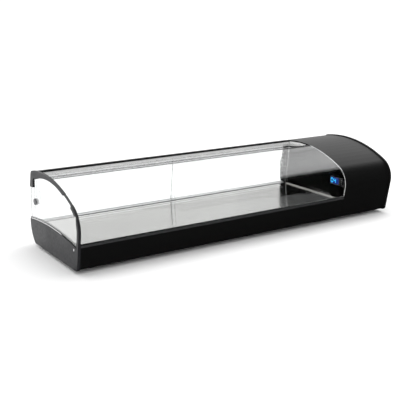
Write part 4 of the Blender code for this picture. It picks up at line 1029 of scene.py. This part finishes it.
@dataclass
class Studio:
    """Pale floor, soft light, the cards that show in gloss, and the camera."""

    camera_place: tuple[float, float, float] = (-1.6093, -2.2967, 0.8440)
    heading: float = 33.185
    pitch: float = -14.655
    lens: float = 66.75
    floor_radius: float = 40.0
    floor_drop: float = 0.0005
    floor_colour: Colour = (0.92, 0.92, 0.92)
    surround: float = 1.1
    lamp_place: tuple[float, float, float] = (1.2, 0.35, 2.6)
    lamp_aim: tuple[float, float, float] = (1.2, 0.34, 0.2)
    lamp_size: tuple[float, float] = (5.0, 1.4)
    lamp_power: float = 44.0
    flag_near: float = -0.13
    flag_far: float = -1.7
    flag_height: float = 4.4
    flag_overhang: float = -0.55
    flag_lift: float = 0.001
    flag_ends: tuple[float, float] = (-5.0, 9.0)
    pane_reach: float = 0.55
    ceiling_height: float = 2.6
    ceiling_front: float = -0.5
    ceiling_peak: float = 0.8
    ceiling_even: float = 2.6
    ceiling_back: float = 3.0
    ceiling_glow: float = 2.1
    ceiling_rest: float = 1.05

    def add_floor(self) -> None:
        """A round floor just under the feet: rings of points on a grid of radius and angle."""
        rings, steps = 12, 96
        reach = np.linspace(0.0, self.floor_radius, rings + 1)[1:]
        bearings = np.linspace(0, math.tau, steps + 1)[:-1]
        radius, angle = np.meshgrid(reach, bearings, indexing="ij")
        grid = np.stack([radius * np.cos(angle), radius * np.sin(angle), np.zeros_like(radius)], axis=-1)
        points = np.concatenate([grid.reshape(-1, 3), [[0.0, 0.0, 0.0]]])
        ring, step = np.meshgrid(np.arange(rings - 1), np.arange(steps), indexing="ij")
        here, ahead = ring * steps + step, ring * steps + (step + 1) % steps
        quads = np.stack([here, here + steps, ahead + steps, ahead], axis=-1).reshape(-1, 4)
        start = np.arange(steps)
        fan = np.stack([np.full(steps, len(points) - 1), start, (start + 1) % steps], axis=-1)
        material = bpy.data.materials.new("studio_paper")
        material.use_nodes = True
        shader = Shader(material.node_tree)
        surface = material.node_tree.nodes["Principled BSDF"].inputs
        tone = shader.noise(shader.place(), 3.0, 3.0)
        brighter = shade(self.floor_colour, 1.0, 0.01)
        shader.join(shader.blend(tone, self.floor_colour, brighter), surface["Base Color"])
        surface["Roughness"].default_value = 0.9
        surface["Specular IOR Level"].default_value = 0.1
        floor = link_mesh("studio_floor", points.tolist(), quads.tolist() + fan.tolist(), material)
        floor.location.z = -self.floor_drop

    def add_lights(self) -> None:
        """An even white surround, a soft lamp overhead and the card that stands in for it in gloss."""
        world = bpy.data.worlds.new("studio_surround")
        bpy.context.scene.world = world
        world.use_nodes = True
        background = world.node_tree.nodes["Background"].inputs
        background["Color"].default_value = (1.0, 1.0, 1.0, 1.0)
        background["Strength"].default_value = self.surround
        light = bpy.data.lights.new("overhead", "AREA")
        light.shape = "RECTANGLE"
        light.size, light.size_y = self.lamp_size
        light.energy = self.lamp_power
        lamp = bpy.data.objects.new("overhead", light)
        lamp.location = self.lamp_place
        lamp.rotation_euler = direction_to_euler(np.subtract(self.lamp_aim, self.lamp_place))
        lamp.visible_glossy = False
        lamp.visible_transmission = False
        bpy.context.scene.collection.objects.link(lamp)
        self.add_ceiling()

    def add_ceiling(self) -> None:
        """A glowing card overhead: dark at its front edge, brightest at the peak, then even."""
        shader = self.card_shader("ceiling_glow")
        split = shader.add("ShaderNodeSeparateXYZ")
        shader.join(shader.place(), split.inputs[0])
        front, peak, even, back = self.ceiling_front, self.ceiling_peak, self.ceiling_even, self.ceiling_back
        rise = shader.spread(split.outputs["Y"], front, peak, 0.0, self.ceiling_glow)
        fall = shader.spread(split.outputs["Y"], peak, even, 1.0, self.ceiling_rest / self.ceiling_glow)
        glow = shader.add("ShaderNodeEmission")
        shader.join(shader.math("MULTIPLY", rise, fall), glow.inputs["Strength"])
        self.show_in_gloss(shader, glow.outputs[0])
        height = self.ceiling_height
        self.add_card("ceiling_card", (front, height), (back, height), "ceiling_glow")

    def add_flags(self) -> None:
        """Black cards in front of the case, seen only in its gloss: on the floor, upright and overhead."""
        shader = self.card_shader("flag_felt")
        felt = shader.add("ShaderNodeBsdfDiffuse")
        felt.inputs["Color"].default_value = (0.0, 0.0, 0.0, 1.0)
        self.show_in_gloss(shader, felt.outputs[0])
        far, top, lift = self.flag_far, self.flag_height, self.flag_lift
        self.add_card("floor_flag", (far, lift), (self.flag_near, lift), "flag_felt")
        self.add_card("upright_flag", (far, 0.0), (far, top), "flag_felt")
        self.add_card("overhead_flag", (far, top), (self.flag_overhang, top), "flag_felt")

    def card_shader(self, name: str) -> Shader:
        """The empty node tree of a new material for a card."""
        material = bpy.data.materials.new(name)
        material.use_nodes = True
        material.node_tree.nodes.clear()
        return Shader(material.node_tree)

    def show_in_gloss(self, shader: Shader, closure: Socket) -> None:
        """Shows a card only to mirrored rays; inside a pane, only to those that land beside the case."""
        path = shader.add("ShaderNodeLightPath").outputs
        split = shader.add("ShaderNodeSeparateXYZ")
        shader.join(shader.place(), split.inputs[0])
        beside = shader.math("GREATER_THAN", split.outputs["X"], self.pane_reach)
        inside = shader.math("MULTIPLY", beside, shader.math("LESS_THAN", path["Transmission Depth"], 2.5))
        shown = shader.math("MAXIMUM", inside, shader.math("LESS_THAN", path["Transmission Depth"], 0.5))
        mirrored = shader.math("MULTIPLY", shown, shader.math("GREATER_THAN", path["Glossy Depth"], 0.5))
        mix = shader.add("ShaderNodeMixShader")
        shader.join(mirrored, mix.inputs[0])
        shader.join(shader.add("ShaderNodeBsdfTransparent").outputs[0], mix.inputs[1])
        shader.join(closure, mix.inputs[2])
        shader.join(mix.outputs[0], shader.add("ShaderNodeOutputMaterial").inputs["Surface"])

    def add_card(self, name: str, start: Point, end: Point, material: str) -> None:
        """Adds a flat card between two (y, z) edges that run along the case, shown only in gloss."""
        left, right = self.flag_ends
        corners = [(left, *start), (right, *start), (right, *end), (left, *end)]
        card = link_mesh(name, corners, [(0, 1, 2, 3)], bpy.data.materials[material])
        for ray in ("camera", "diffuse", "volume_scatter", "shadow"):
            setattr(card, f"visible_{ray}", False)

    def add_camera(self) -> None:
        """Camera at the left front, a little above the case."""
        data = bpy.data.cameras.new("main_camera")
        data.lens = self.lens
        data.sensor_width = 36.0
        data.clip_start = 0.05
        camera = bpy.data.objects.new("main_camera", data)
        camera.location = self.camera_place
        camera.rotation_euler = (math.radians(90.0 + self.pitch), 0.0, math.radians(-self.heading))
        bpy.context.scene.collection.objects.link(camera)
        bpy.context.scene.camera = camera

    def build(self) -> None:
        """Builds the floor, the lights, the cards and the camera."""
        self.add_floor()
        self.add_lights()
        self.add_flags()
        self.add_camera()
        bpy.context.scene.view_settings.view_transform = "Standard"
        log.info("studio ready")


def direction_to_euler(towards: np.ndarray) -> tuple[float, float, float]:
    """Rotation that turns a light's -Z along a direction, by its tilt off the vertical and its bearing."""
    flat = math.hypot(towards[0], towards[1])
    tilt = math.atan2(flat, -towards[2])
    bearing = math.atan2(towards[0], -towards[1]) if flat > 1e-6 else 0.0
    return (-tilt if flat > 1e-6 else 0.0, 0.0, bearing)


def main() -> None:
    """Builds the studio, dresses the case and adds the detail."""
    logging.basicConfig(level=logging.INFO, format="%(name)s: %(message)s")
    Studio().build()
    CaseFinishes().apply()
    doors, rear = DoorPlane(), RearFace()
    RailTrim().build(Crown())
    TrackTrim().build()
    DoorTrim().build(doors)
    PaneTrim().build(rear, doors)
    Display().build()
    Fasteners().build(rear)


if __name__ == "__main__":
    main()
